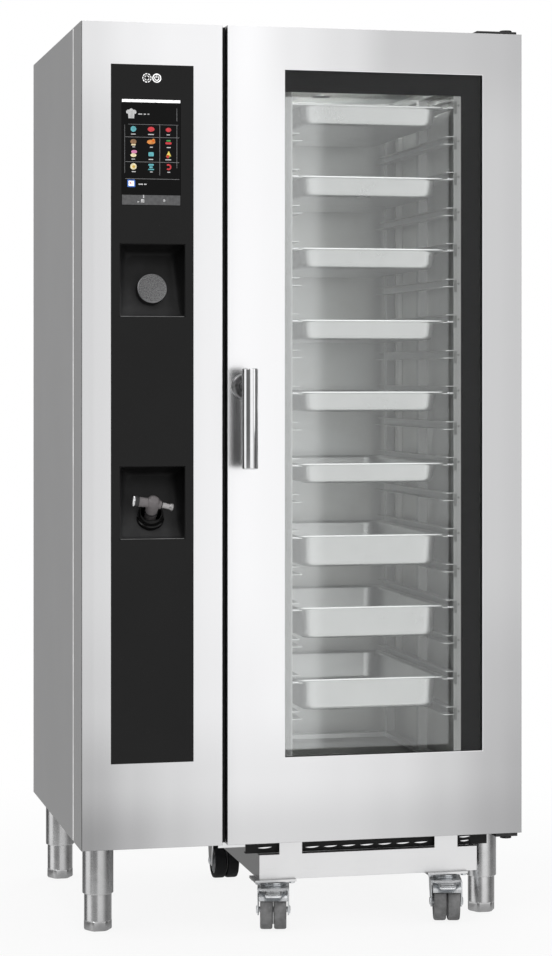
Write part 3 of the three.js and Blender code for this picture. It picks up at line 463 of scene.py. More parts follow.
# Finish of each CAD piece
CAD_FINISHES = {
    "steel_front": "control_fascia door_outer_frame",
    "steel_side": "side_panel_left side_panel_right top_panel",
    "steel_back": "back_panel steam_generator",
    "steel_across": "base_frame",
    "steel_cavity": "cavity_liner fan_baffle fan_wheel_upper fan_wheel_lower",
    "steel_door_inner": "door_inner_frame latch_cam",
    "trolley_steel": "trolley_frame",
    "black_glass": "control_panel",
    "screen_glass": "touch_display",
    "black_moulding": "dial_recess shower_recess shower_holster",
    "black_paint": "hinge_bracket_bottom hinge_bracket_top",
    "door_glass_outer": "door_outer_glass",
    "door_glass_inner": "door_inner_glass",
    "black_rubber": "door_gasket",
    "enamel": "fan_motor_upper fan_motor_lower electronics_box",
    "heater_sheath": "heater_ring_upper heater_ring_lower",
    "polished_steel": "vent_pipe drain_pipe handle_rose door_handle shower_trigger",
    "hose_cover": "shower_hose",
    "grey_moulding": "hand_shower",
    "foot_steel": "foot_front_left foot_front_right foot_rear_left foot_rear_right",
    "grey_tyre": "caster_wheel_front_left caster_wheel_front_right "
                 "caster_wheel_rear_left caster_wheel_rear_right",
    "zinc": "caster_fork_front_left caster_brake_front_left "
            "caster_fork_front_right caster_brake_front_right",
}
# the zinc pieces are named caster_..._front_side for forks and caster_brake_side for brakes
CAD_FINISHES["zinc"] = CAD_FINISHES["zinc"].replace("brake_front_", "brake_")
# the rack is only finished where the frame has one
if "pan_rack" in NODES:
    CAD_FINISHES["rack_steel"] = "pan_rack"
for finish, pieces in CAD_FINISHES.items():
    for piece in pieces.split():
        slots = NODES[piece].data.materials
        slots.clear()
        slots.append(MATERIALS[finish])


# ------------------------------------------------------------------ mesh building
class Part:
    """Mesh under construction; sizes are millimetres, matrices and lofted points metres."""

    def __init__(self):
        self.bm = bmesh.new()

    def loop(self, points):
        return [self.bm.verts.new(point) for point in points]

    def ring(self, radii, rise, place, angles=None):
        """One vertex per radius round local z; a zero radius gives one shared vertex."""
        count = len(radii)
        if radii[0] == 0:
            return self.loop([place @ Vector((0, 0, rise / 1000))]) * count
        angles = angles or [2 * math.pi * i / count for i in range(count)]
        return self.loop(
            place @ Vector((r / 1000 * math.cos(a), r / 1000 * math.sin(a), rise / 1000))
            for r, a in zip(radii, angles)
        )

    def skin(self, rings, closed=False, slot=0):
        pairs = list(zip(rings, rings[1:]))
        if closed:
            pairs.append((rings[-1], rings[0]))
        for a, b in pairs:
            for i in range(len(a)):
                j = (i + 1) % len(a)
                corners = dict.fromkeys((a[i], a[j], b[j], b[i]))
                self.bm.faces.new(tuple(corners)).material_index = slot

    def lathe(self, profile, place, segments=64, slot=0):
        """Profile of (radius, height) from axis to axis, or a closed loop clear of the axis."""
        rings = [self.ring([radius] * segments, rise, place) for radius, rise in profile]
        self.skin(rings, profile[0][0] > 0 and profile[-1][0] > 0, slot)

    def box(self, low, high, bevel=0.0, segments=3):
        """Box between two corners of the drawing frame."""
        center = [(a + b) / 2 for a, b in zip(low, high)]
        size = [abs(b - a) / 1000 for a, b in zip(low, high)]
        place = Matrix.Translation(spot(*center)) @ Matrix.Diagonal((*size, 1.0))
        verts = bmesh.ops.create_cube(self.bm, size=1.0, matrix=place)["verts"]
        if bevel:
            self.bevel(list({edge for vert in verts for edge in vert.link_edges}), bevel, segments)

    def bevel(self, edges, width, segments):
        bmesh.ops.bevel(
            self.bm, geom=edges, offset=width / 1000, segments=segments, profile=0.5,
            affect="EDGES", clamp_overlap=True,
        )

    def prism(self, outline, place, depth, bevel=0.0):
        """Outline in local x, y raised along local z; bevel rounds its raised edge."""
        bottom, top = (
            self.loop(place @ Vector((x / 1000, y / 1000, z / 1000)) for x, y in outline)
            for z in (0, depth)
        )
        self.bm.faces.new(bottom[::-1])
        cap = self.bm.faces.new(top)
        self.skin([bottom, top])
        if bevel:
            self.bevel(list(cap.edges), bevel, 2)

    def loft(self, loops):
        rings = [self.loop(points) for points in loops]
        self.skin(rings)
        self.bm.faces.new(rings[0][::-1])
        self.bm.faces.new(rings[-1])

    def to_mesh(self, name):
        bmesh.ops.recalc_face_normals(self.bm, faces=self.bm.faces[:])
        mesh = bpy.data.meshes.new(name)
        self.bm.to_mesh(mesh)
        self.bm.free()
        return mesh

    def build(self, name, materials, slot, body="cabinet", angle=30, smooth=True,
              matrix=None, replaces=None):
        """Object riding on body; edges sharper than angle degrees stay sharp."""
        mesh = self.to_mesh(name)
        if smooth:
            for face in mesh.polygons:
                face.use_smooth = True
            mesh.set_sharp_from_angle(angle=math.radians(angle))
        built = bpy.data.objects.new(name, mesh)
        bpy.context.scene.collection.objects.link(built)
        for material in [materials] if isinstance(materials, str) else materials:
            mesh.materials.append(MATERIALS[material])
        if matrix is not None:
            built.matrix_world = matrix
        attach(built, body)
        if replaces:
            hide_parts(replaces)
        return built


def box_piece(name, material, slot, boxes, bevel=0.0, segments=3, **options):
    """Object made of boxes given as (low corner, high corner)."""
    part = Part()
    for low, high in boxes:
        part.box(low, high, bevel, segments)
    part.build(name, material, slot, **options)


def band_piece(name, material, slot, x0, x1, z0, z1, width, y, depth, body):
    """Rectangular border of a width, inside x0..x1, z0..z1, from y towards the viewer."""
    part = Part()
    outer_back, outer_front, inner_back, inner_front = (
        part.loop(
            spot(x, y - rise, z)
            for x, z in (
                (x0 + inset, z0 + inset), (x1 - inset, z0 + inset),
                (x1 - inset, z1 - inset), (x0 + inset, z1 - inset),
            )
        )
        for inset in (0, width)
        for rise in (0, depth)
    )
    part.skin([outer_back, outer_front, inner_front, inner_back], closed=True)
    part.build(name, material, slot, body, smooth=False)


def rounded(width, height, radius, steps=6, x=0.0, y=0.0):
    """Rectangle with rounded corners, centred on x, y."""
    right, top = width / 2 - radius, height / 2 - radius
    points = []
    for cx, cy, start in ((right, -top, -90), (right, top, 0), (-right, top, 90), (-right, -top, 180)):
        for i in range(steps + 1):
            angle = math.radians(start + 90 * i / steps)
            points.append((x + cx + radius * math.cos(angle), y + cy + radius * math.sin(angle)))
    return points


# ------------------------------------------------------------------ control column
RECESS_MID_X = (RECESS_LEFT + RECESS_RIGHT) / 2
FLANGE_Y = 6.3
DEPTH_TOP, DEPTH_BOTTOM = 46, 14  # back wall behind the flange, at its top and bottom
DRAFT_TOP, DRAFT_BOTTOM = 15, 5  # how far the upper and lower walls lean inwards
SIDE_TOP, SIDE_BOTTOM = 17, 9  # how far the side walls lean inwards, at top and bottom


def recess(name, bottom, replaces):
    """Moulded recess: rounded mouth, drafted walls, fillets and a leaning back wall."""

    def mouth_loop(margin, radius, y):
        outline = rounded(
            RECESS_RIGHT - RECESS_LEFT + margin, RECESS_HEIGHT + margin, radius,
            x=RECESS_MID_X, y=bottom + RECESS_HEIGHT / 2,
        )
        return [spot(x, y, z) for x, z in outline]

    def wall_loop(share, radius, grow=0.0, shift=0.0):
        """Loop at a share of the depth, grown outwards and shifted backwards."""
        draft = (SIDE_BOTTOM + SIDE_TOP) / 2 * share
        left, right = RECESS_LEFT + draft - grow, RECESS_RIGHT - draft + grow
        low = bottom + DRAFT_BOTTOM * share - grow
        high = bottom + RECESS_HEIGHT - DRAFT_TOP * share + grow
        middle = (left + right) / 2
        points = []
        for x, z in rounded(right - left, high - low, radius, x=middle, y=(low + high) / 2):
            up = (z - low) / (high - low)
            depth = (DEPTH_BOTTOM + (DEPTH_TOP - DEPTH_BOTTOM) * up) * share
            inset = (SIDE_TOP - SIDE_BOTTOM) * (up - 0.5) * share
            side = 1 if x > middle else -1
            points.append(spot(x - side * inset, FLANGE_Y + depth + shift, z))
        return points

    recess_finish_painted_shade(name + "_finish", bottom)
    part = Part()
    part.loft([
        # outer skin, from the floor to the mouth
        wall_loop(1.0, 14, grow=2.0, shift=2.0),
        wall_loop(0.04, 6, grow=2.2, shift=2.2),
        # flange and lip
        mouth_loop(12, 5, FLANGE_Y + 2.0),
        mouth_loop(12, 5, FLANGE_Y),
        mouth_loop(-0.6, 4, FLANGE_Y),
        mouth_loop(-0.6, 4, 0.9),
        mouth_loop(-2.6, 3.4, 0.7),
        # inner walls, fillet and floor
        wall_loop(0.12, 5),
        wall_loop(0.84, 9),
        wall_loop(0.94, 11, -2.0),
        wall_loop(0.995, 13, -6.0),
        wall_loop(1.0, 14, -10.0),
    ])
    return part.build(name, name + "_finish", "black_plastic", angle=40, replaces=replaces)


dial_recess = recess("dial_recess_moulding", DIAL_RECESS_Z, "dial_recess")
shower_recess = recess("shower_recess_moulding", SHOWER_RECESS_Z, "shower_recess")
# light grey sills as painted highlight on the lower lip of each recess
box_piece("recess_sill_highlights", "recess_lip", "black_plastic", [
    ((RECESS_LEFT + 2, 0.5, z + 0.3), (RECESS_RIGHT - 2, 2.4, z + 1.7))
    for z in (DIAL_RECESS_Z, SHOWER_RECESS_Z)
], bevel=0.6, segments=2)

# The dial stands square to the leaning back wall, the shower leans back by its own tilt.
WALL_RUN = RECESS_HEIGHT - DRAFT_TOP - DRAFT_BOTTOM
WALL_RISE = DEPTH_TOP - DEPTH_BOTTOM
WALL_LEAN = math.atan2(WALL_RISE, WALL_RUN)
SHOWER_TILT = math.radians(42)
DIAL_UP = 52  # root above the foot of its recess
SHOWER_UP = 46
ROOT_X = 146.5


def tilted(angle):
    return Vector((0, -math.cos(angle), math.sin(angle)))


def on_wall(up, bottom, forward=0):
    """Point on a recess's back wall, up mm above the recess's foot."""
    y = FLANGE_Y + DEPTH_BOTTOM + (up - DRAFT_BOTTOM) / WALL_RUN * WALL_RISE - forward
    return spot(ROOT_X, y, bottom + up)


DIAL_AXIS = tilted(WALL_LEAN)
DIAL_ROOT = on_wall(DIAL_UP, DIAL_RECESS_Z)
SHOWER_AXIS = tilted(SHOWER_TILT)
SHOWER_ROOT = on_wall(SHOWER_UP, SHOWER_RECESS_Z, forward=3)
DIAL_FRAME = facing(DIAL_ROOT, DIAL_AXIS)
SHOWER_FRAME = facing(SHOWER_ROOT, SHOWER_AXIS)


def pierce(moulding, radius, place, back, ahead):
    """Round hole through a moulding for the piece that passes it."""
    part = Part()
    part.lathe([(0, back), (radius, back), (radius, ahead), (0, ahead)], place, 56)
    mesh = part.to_mesh("bore")
    bore = bpy.data.objects.new("bore", mesh)
    bpy.context.scene.collection.objects.link(bore)
    cut = moulding.modifiers.new("bore", "BOOLEAN")
    cut.operation = "DIFFERENCE"
    cut.solver = "EXACT"
    cut.object = bore
    evaluated = moulding.evaluated_get(bpy.context.evaluated_depsgraph_get())
    pierced = bpy.data.meshes.new_from_object(evaluated)
    moulding.modifiers.clear()
    moulding.data = pierced
    pierced.set_sharp_from_angle(angle=math.radians(40))
    bpy.data.objects.remove(bore)
    bpy.data.meshes.remove(mesh)


pierce(dial_recess, 5.4, DIAL_FRAME, back=-12, ahead=12)
pierce(shower_recess, 23.4, SHOWER_FRAME, back=-60, ahead=40)

# Dial: radius, height, knurled, material of the band that starts here (side, rim, face)
DIAL_PROFILE = [
    (0, 0, False, 0), (27.5, 0, False, 0), (28.6, 0.6, False, 0), (30.2, 2.2, True, 0),
    (30.2, 21.2, True, 0), (30.9, 22.0, False, 0), (30.9, 24.0, False, 1),
    (30.2, 25.0, False, 1), (28.9, 25.4, False, 2), (28.3, 25.15, False, 2),
    (0, 25.05, False, 2),
]
DIAL_SEGMENTS = 120
KNURL = 0.35
DIAL_LIFT = 0.0032  # metres off the wall


def selector_dial():
    part = Part()
    rings = []
    for radius, height, knurled, _ in DIAL_PROFILE:
        radii = [radius + (KNURL if knurled and i % 2 else 0) for i in range(DIAL_SEGMENTS)]
        rings.append(part.ring(radii, height, Matrix.Identity(4)))
    for k in range(len(rings) - 1):
        part.skin(rings[k:k + 2], slot=DIAL_PROFILE[k][3])
    part.build(
        "selector_dial_turned", ["black_paint", "dial_rim", "dial_face"], "dial_metal", "dial",
        28, matrix=facing(DIAL_ROOT + DIAL_AXIS * DIAL_LIFT, DIAL_AXIS),
        replaces="selector_dial",
    )
    # shaft and turned tail behind the recess wall
    part = Part()
    part.lathe([
        (0, -22), (12.4, -22), (13, -21.2), (13, -8.6), (12.4, -8), (4.5, -8), (4.5, 3.4),
        (0, 3.4),
    ], DIAL_FRAME, 40)
    part.build("dial_spindle", "polished_steel", "steel_dark", "dial")


selector_dial()

# Hand shower: collar, stem, and a head with a barrel to the left and a lever to the right
HEAD = SHOWER_ROOT + SHOWER_AXIS * 0.042
BARREL_AXIS = Vector((-1, 0, 0.12)).normalized()
BARREL_FRAME = facing(HEAD, BARREL_AXIS)
LEVER_FRAME = facing(HEAD, Vector((1, 0, -0.22)).normalized())


def shower_collar():
    part = Part()
    part.lathe([
        (21.0, -50), (25.6, -50), (26.2, -10), (26.4, 6), (26.2, 9.5), (25.2, 12.4),
        (23.6, 13.8), (22.0, 13.6), (20.6, 11.8), (20.0, 8), (20.2, 2), (21.0, -10),
    ], SHOWER_FRAME, 72)
    part.lathe(
        [(26.2, -1.0), (28.6, -2.6), (29.4, -5.5), (29.0, -9.0), (26.2, -9.0)], SHOWER_FRAME, 72
    )
    part.build(
        "shower_holster_collar", "collar_black", "black_plastic", angle=35,
        replaces="shower_holster",
    )


def shower_body():
    part = Part()
    part.lathe([
        (0, -34), (11, -34), (12.2, -32.5), (12.8, -28), (12.8, 2), (11.6, 6), (11.4, 12),
        (12.2, 16), (13.2, 26), (14.2, 36), (14.4, 42), (14.0, 47), (12.4, 51.6), (9.6, 54.6),
        (5.6, 56.2), (0, 56.8),
    ], SHOWER_FRAME, 56)
    part.lathe(
        [(0, 0), (9.8, 0), (9.6, 16), (10.0, 27), (10.6, 29.5), (0, 29.5)], BARREL_FRAME, 40
    )
    part.lathe([(0, 0), (9.0, 0), (9.0, 14.5), (8.2, 17.2), (0, 17.2)], LEVER_FRAME, 40)
    part.build(
        "hand_shower_body", "grey_moulding", "grey_plastic", "shower", 32,
        replaces="hand_shower",
    )


def spray_head():
    part = Part()
    part.lathe(
        [(0, 29.6), (10.4, 29.6), (12.2, 33.5), (12.6, 39.0), (0, 39.0)], BARREL_FRAME, 48
    )
    part.lathe([
        (0, 39.0), (12.7, 39.0), (13.2, 40.2), (12.8, 42.6), (11.6, 43.5), (10.6, 42.8),
        (0, 42.8),
    ], BARREL_FRAME, 48, slot=1)
    for k in range(10):
        # studs in a circle on the spray face, metres
        angle = k * math.pi / 5
        foot = BARREL_FRAME @ Vector((0.0075 * math.cos(angle), 0.0075 * math.sin(angle), 0.043))
        part.lathe([(0, 0), (0.9, 0), (0.7, 1.1), (0, 1.2)], facing(foot, BARREL_AXIS), 10)
    part.build(
        "shower_spray_head", ["black_moulding", "polished_steel"], "polished", "shower", 32
    )


def shower_lever():
    part = Part()
    part.lathe([
        (0, 19.2), (6.3, 19.2), (6.6, 21), (6.2, 34), (7.6, 36), (8.2, 39), (7.6, 42),
        (5.6, 43.3), (0, 43.6),
    ], LEVER_FRAME, 40)
    part.build(
        "shower_lever_smooth", "lever_metal", "polished", "shower_lever", 32,
        replaces="shower_trigger",
    )


def stem_ring():
    part = Part()
    part.lathe(
        [(0, 14), (13.5, 14), (13.9, 15), (13.9, 16.4), (13.5, 17.4), (0, 17.4)],
        SHOWER_FRAME, 48,
    )
    part.build("shower_stem_ring", "black_moulding", "black_plastic", "shower", 32)


shower_collar()
shower_body()
spray_head()
shower_lever()
stem_ring()

# ------------------------------------------------------------------ display and touch symbols
SIGN_Y = 0.86  # symbols stand a hair in front of the screen, under the level of the glass


def signs(name, material, shapes, y=SIGN_Y, depth=0.3, slot="display_glass"):
    """Flat signs given as (outline, x, z)."""
    part = Part()
    for outline, x, z in shapes:
        part.prism(outline, on_front(x, z, y), depth)
    part.build(name, material, slot, smooth=False)


def arc(radius, start, end, count, x=0.0, y=0.0, wide=1.0, high=1.0):
    """Points from start to end degrees, both included."""
    angles = [math.radians(start + (end - start) * i / count) for i in range(count + 1)]
    return [
        (x + radius * wide * math.cos(a), y + radius * high * math.sin(a)) for a in angles
    ]


def disc(radius, count=20, wide=1.0, high=1.0, x=0.0, y=0.0):
    return arc(radius, 0.0, 360.0, count, x, y, wide, high)[:-1]


def bar(width, height, x=0.0, y=0.0, radius=0.3):
    return rounded(width, height, min(radius, width / 2.01, height / 2.01), 3, x, y)


def ring_part(inner, outer, start, end, count=16):
    return arc(outer, start, end, count) + arc(inner, end, start, count)


SCREEN_LEFT, SCREEN_RIGHT = 83.4, 204.1
SCREEN_WIDTH = SCREEN_RIGHT - SCREEN_LEFT
SCREEN_MID = (SCREEN_LEFT + SCREEN_RIGHT) / 2
HAT_ROW = 1683
X1, X2, X3 = SIGN_COLUMNS = [107, 143.5, 179.5]
Z1, Z2, Z3, Z4 = SIGN_ROWS = [1652.5, 1626.5, 1601.5, 1576]
LABEL_WIDTHS = [9.5, 5.5, 7, 8, 12, 6]
CHEF_HAT = (
    [(-6, -9), (6, -9), (6.4, 1.2)]
    + arc(4.6, -60, 100, 8, x=6, y=4)
    + arc(4.6, 20, 160, 8, x=0, y=6.4)
    + arc(4.6, 80, 240, 8, x=-6, y=4)
    + [(-6.4, 1.2)]
)

signs("ui_header_bar", "ui_white", [(bar(SCREEN_WIDTH, 5.8), SCREEN_MID, 1710)])
signs("ui_footer_bar", "ui_grey", [(bar(SCREEN_WIDTH, 20), SCREEN_MID, 1508)])
signs("ui_footer_marks", "ui_white", [
    (bar(7, 7, 0, -4), 126, 1510), (bar(2.6, 6, 2, 5), 126, 1510),
    (bar(4, 2, -9, -6), 126, 1510), (disc(2.6, 12), 170.5, 1507.5),
])
signs("ui_hat", "ui_soft", [(CHEF_HAT, 102.5, HAT_ROW)])
signs("ui_row_marks", "ui_soft", [
    (bar(8, 2.2), 121, HAT_ROW), (bar(4.5, 2.2), 130.5, HAT_ROW), (bar(3.6, 2.2), 138, HAT_ROW),
    (bar(9, 2.4), 122, 1540), (bar(5, 2.4), 131.5, 1540),
])
# food signs on a grid of three columns and four rows
signs("ui_teal_signs", "ui_teal", [
    (disc(6.2, 7), X1, Z1), (bar(11, 8.6, 0, 0, 2), X2, Z3), (bar(11, 3.6, 0, 4, 1), X2, Z4),
    (bar(7, 4, 0, -1, 1.5), X2, Z4), (bar(12, 2.6, 0, -5.5, 1), X2, Z4),
])
signs("ui_red_signs", "ui_red", [
    (disc(6.2, 16, 1.15, 0.8), X2, Z1), (disc(5.0, 9, 1.2, 0.9), X3, Z1 - 0.5),
    (bar(13, 4.4, 0, -2, 2), X3, Z2), (ring_part(3.1, 6.2, -130, 130), X3, Z4),
    (disc(3.4, 12, x=-1, y=-4), X3, Z3),
])
signs("ui_orange_signs", "ui_orange", [
    (disc(6.5, 14, 1.35, 0.72), X2, Z2), (disc(3.2, 12, x=5, y=3.6), X2, Z2),
])
signs("ui_brown_signs", "ui_brown", [(disc(6.4, 14, 1.0, 0.8), X1, Z2)])
signs("ui_cream_signs", "ui_cream", [
    (bar(9, 3, 0, -6.2, 1), X1, Z2), (disc(6.6, 16), X1, Z4),
    (disc(5.2, 10, 1.2, 0.75, 0, -2.4), X1, Z3),
])
signs("ui_green_signs", "ui_green", [
    (bar(9, 3, 0, 3.2, 1.4), X3, Z2), (bar(2.2, 2.4, 2, -5.4), X3, Z3),
])
signs("ui_pink_signs", "ui_pink", [(disc(5.6, 14, 1.1, 0.62, 1.5, 4.4), X1, Z3)])
signs("ui_yellow_signs", "ui_yellow", [
    ([(-5, -4), (0.6, 7.5), (5.6, -3.4)], X3, Z3), (disc(3.0, 12), X1 + 0.5, Z4 - 0.3),
])
signs("ui_sign_labels", "ui_soft", [
    (bar(LABEL_WIDTHS[(i * 4 + j) % 6], 1.9, radius=0.4), x + (0.6 if j % 2 else -0.4), z - 10.6)
    for i, x in enumerate(SIGN_COLUMNS)
    for j, z in enumerate(SIGN_ROWS)
])
signs("ui_grid_lines", "ui_line", [
    (bar(112, 0.8), 146, 1636), (bar(112, 0.8), 146, 1585.5), (bar(0.9, 104), 161.5, 1611),
    (bar(112, 0.8), 146, 1551), (bar(0.8, 88), 197, 1618), (bar(0.8, 26), 197, HAT_ROW),
    (bar(104, 0.6), 148, 1662), (bar(0.6, 98), 89, 1612),
])
# square sign: plate, inset and mark in front of each other
SQUARE = (102.5, 1541.5)
signs("ui_square_sign", "ui_blue", [(bar(16, 15, 0, 0, 1.5), *SQUARE)])
signs(
    "ui_square_inset", "ui_white", [(bar(11.5, 10.5, 0, 0, 1), *SQUARE)],
    y=SIGN_Y - 0.28, depth=0.14,
)
signs(
    "ui_square_mark", "ui_red",
    [([(-4, 3.6), (-0.4, -3.2), (0.6, -1.2), (-2.2, 3.6)], *SQUARE)],
    y=SIGN_Y - 0.4, depth=0.1,
)
# two round touch symbols above the display
LEFT_TOUCH, RIGHT_TOUCH = (134.8, 1757), (155.2, 1757)
signs(
    "touch_symbols", "ui_white",
    [(ring_part(7.6, 9.4, k * 40 + 4, k * 40 + 32, 5), *LEFT_TOUCH) for k in range(9)]
    + [(ring_part(3.8, 5.2, k * 90 + 14, k * 90 + 74, 5), *LEFT_TOUCH) for k in range(4)]
    + [
        (ring_part(7.0, 9.3, 0, 178, 24), *RIGHT_TOUCH),
        (ring_part(7.0, 9.3, 180, 358, 24), *RIGHT_TOUCH),
        (ring_part(3.4, 5.2, 128, 412, 20), *RIGHT_TOUCH),
        (bar(1.7, 5.6, 0, 3.2), *RIGHT_TOUCH),
    ],
    y=0.4, depth=0.16, slot="panel_glass",
)

# thin dark border round the black panel
band_piece(
    "panel_seam_trim", "black_paint", "black_plastic", x0=60.4, x1=231.6, z0=359.4, z1=1784.1,
    width=1.0, y=0.2, depth=0.5, body="cabinet",
)
# painted shadow line down the fascia's left fold, and a glowing bead as painted highlight on the joint
# of fascia and side sheet
box_piece(
    "fascia_corner_shadow_line", "seam_shadow", "seal_rubber", [((0.2, -0.12, 186), (1.5, 0.4, 1869))],
    bevel=0.1, smooth=False,
)
box_piece(
    "fascia_joint_bead", "joint_bead", "seal_rubber", [((-0.1, 111.6, 187), (0.5, 117.8, 1868))],
    bevel=0.1, smooth=False,
)

# ------------------------------------------------------------------ door
box_piece("door_glass_print", "black_print", "black_plastic", [
    ((423.5, 8.5, 1737), (851, 8.8, 1782)),
    ((806, 8.5, 361), (851, 8.8, 1737.2)),
    ((413.8, 8.5, 351.2), (423.6, 8.8, 1791.6)),
    ((423.5, 8.5, 351.2), (851, 8.8, 361.5)),
], body="door", smooth=False)
band_piece(
    "window_edge_trim", "polished_steel", "polished", x0=422.7, x1=851.8, z0=360.2, z1=1782.8,
    width=1.2, y=0.3, depth=0.55, body="door",
)
# strips at the inner left and right of the door frame that glow as painted light
box_piece("sight_edge_glow_strips", "door_edge_light", "steel_dark", [
    ((x, 12, 350), (x + 2.8, 50, 1748)) for x in (424.4, 825.8)
], bevel=0.5, segments=2, body="door")

# Handle
HANDLE_X, HANDLE_Y = 336, -64
NECK_Z = 1128
HANDLE_RADIUS = 16.5
HANDLE_BOTTOM, HANDLE_TOP = 959.5, 1165


def handle():
    """Upright bar on a neck, and the rose round the neck's foot."""
    length = HANDLE_TOP - HANDLE_BOTTOM
    # rounding of the bar's ends: inwards from the radius, inwards from the end
    rounding = [(3, 0), (1.4, 0.5), (0.4, 1.5), (0, 3.2)]
    lower = [(HANDLE_RADIUS - inset, rise) for inset, rise in rounding]
    upper = [(radius, length - rise) for radius, rise in reversed(lower)]
    part = Part()
    part.lathe(
        [(0, 0), *lower, *upper, (0, length)],
        facing(spot(HANDLE_X, HANDLE_Y, HANDLE_BOTTOM)), 96,
    )
    part.lathe(
        [(0, 0), (9.9, 0), (9.9, 46), (10.6, 50), (12.0, 53), (12.0, 56), (0, 56)],
        on_front(HANDLE_X, NECK_Z, -0.9),
    )
    part.build(
        "bar_handle_smooth", "handle_steel", "polished", "handle", replaces="door_handle"
    )
    part = Part()
    part.lathe([
        (10.4, 0.4), (25.5, 0.4), (25.5, 4.6), (25.0, 6.4), (23.6, 7.6), (21.8, 8.0),
        (13.0, 8.0), (11.2, 7.6), (10.4, 6.8),
    ], on_front(HANDLE_X, NECK_Z), 96)
    part.build("handle_rose_smooth", "rose_steel", "polished", "door", replaces="handle_rose")


def top_hinge():
    """Arm with a round knuckle, a foot plate, three screws and the pin."""
    pin = facing(spot(912, 31, 1870))
    part = Part()
    part.box((842, 12, 1871.3), (930, 140, 1876.8), 1.6)
    part.lathe([(0, 5), (12.4, 5), (13, 6), (13, 10), (12, 11), (0, 11)], pin, 40)
    part.box((852, 84, 1870.5), (920, 136, 1871.6), 0.2)
    for x in (862, 886, 910):
        screw = [(0, 0), (5, 0), (5, 2.2), (4, 3.2), (0, 3.4)]
        part.lathe(screw, facing(spot(x, 112, 1876.7)), 24)
    part.lathe([(0, -24), (6.9, -24), (6.9, 5), (0, 5)], pin, 32)
    part.build("top_hinge_arm", "black_paint", "black_paint", replaces="hinge_bracket_top")


def column_gap_shade():
    """Black strip in the gap between column and door, painted shade for the dark gap."""
    part = Part()
    part.box((292.6, 20, 187), (302.4, 24, 1868), 0.8)
    part.box((294, 24, 188), (301, 75.4, 1866), 0.5)
    part.build("column_gap_shade_fill", "dark_seal", "seal_rubber")


# Slots in the gutter under the door: left end, right end, height
GUTTER_SLOTS = [(487 + k * 39.6, 516 + k * 39.6, 157.6) for k in range(7)] + [
    (384, 414, 160.4), (824, 848, 165.4), (826, 846, 157),
]


def gutter_slots():
    """Bright lower edge of each slot, a little bowed."""
    part = Part()
    for left, right, bottom in GUTTER_SLOTS:
        loops = []
        for share in (0.0, 0.12, 0.3, 0.5, 0.7, 0.88, 1.0):
            rise = 0.9 * (share - 0.5) ** 2 * 4 + 1.0 * share
            half = 0.25 + 1.15 * (1 - (2 * share - 1) ** 2)
            x = left + (right - left) * share
            section = ((80.6, -half), (79.6, -half), (79.4, 0), (79.6, half), (80.6, half))
            loops.append([spot(x, y, bottom + rise + z) for y, z in section])
        part.loft(loops)
    part.build("gutter_slot_edges", "polished_steel", "polished")


handle()
top_hinge()
column_gap_shade()
# near-black gutter front as painted shade for the dark space under the door
box_piece("gutter_front_painted_shade", "dark_seal", "black_paint", [
    ((358, 80.4, 150), (886, 81.9, 184.6)),
    ((358, 81.9, 150), (846, 96, 152)),
    ((848, 81.9, 150), (884, 84.4, 184.6)),
], bevel=0.4, segments=2)
gutter_slots()

# ------------------------------------------------------------------ legs and feet
LEGS = {
    f"{depth}_{side}": (x, y)
    for depth, y in (("front", 117), ("rear", 675))
    for side, x in (("left", 52), ("right", 885))
}
# Hexagonal foot: corner radius before chamfering, height
HEX_PROFILE = [
    (0, 0), (26.5, 0), (29.4, 1.2), (30.5, 3.2), (30.5, 19.8), (29.2, 21.8), (27.0, 23.0),
    (0, 23.0),
]
# two points beside each of the six corners, on the flats
HEX_ANGLES = [math.radians(k * 60 + 30 + turn) for k in range(6) for turn in (-24, 24)]
HEX_SHARE = 0.866 / math.cos(math.radians(24))


def leg_sleeves():
    part = Part()
    for x, y in LEGS.values():
        part.lathe([
            (28.9, 76.6), (31.2, 76.6), (32.1, 77.4), (32.25, 78.6), (32.25, 184.2),
            (28.9, 184.2),
        ], facing(spot(x, y, 0)), 72)
    part.build("leg_sleeve_skins", "foot_steel", "steel")


def foot(name, x, y):
    """Round leg on a hexagonal nut with chamfered corners."""
    place = facing(spot(x, y, 0))
    part = Part()
    part.lathe([
        (0, 20), (27.6, 20), (28.4, 21), (28.5, 23), (28.5, 148), (26.5, 150), (0, 150),
    ], place, 72)
    part.skin([
        part.ring([radius * HEX_SHARE] * 12, rise, place, HEX_ANGLES)
        for radius, rise in HEX_PROFILE
    ])
    part.build(
        "adjustable_" + name, "foot_steel", "polished", f"foot_{name}_body", 28,
        replaces="foot_" + name,
    )


leg_sleeves()
for name, (x, y) in LEGS.items():
    foot(name, x, y)

# ------------------------------------------------------------------ casters
CASTER_X = {"left": 418, "right": 793}
PIVOT_Y = 82
TRAIL = 44
AXLE_Y = {"front": PIVOT_Y - TRAIL, "rear": 585}
WHEEL_RADIUS = 40
FORK_HALF = 33  # half width over the fork plates
SWIVEL = Matrix.Rotation(math.radians(-13), 3, "Z")


def swing(part, x):
    """Turn a front caster's piece about its pivot, the way it stands at rest."""
    bmesh.ops.rotate(part.bm, cent=spot(x, PIVOT_Y, 0), matrix=SWIVEL, verts=part.bm.verts[:])


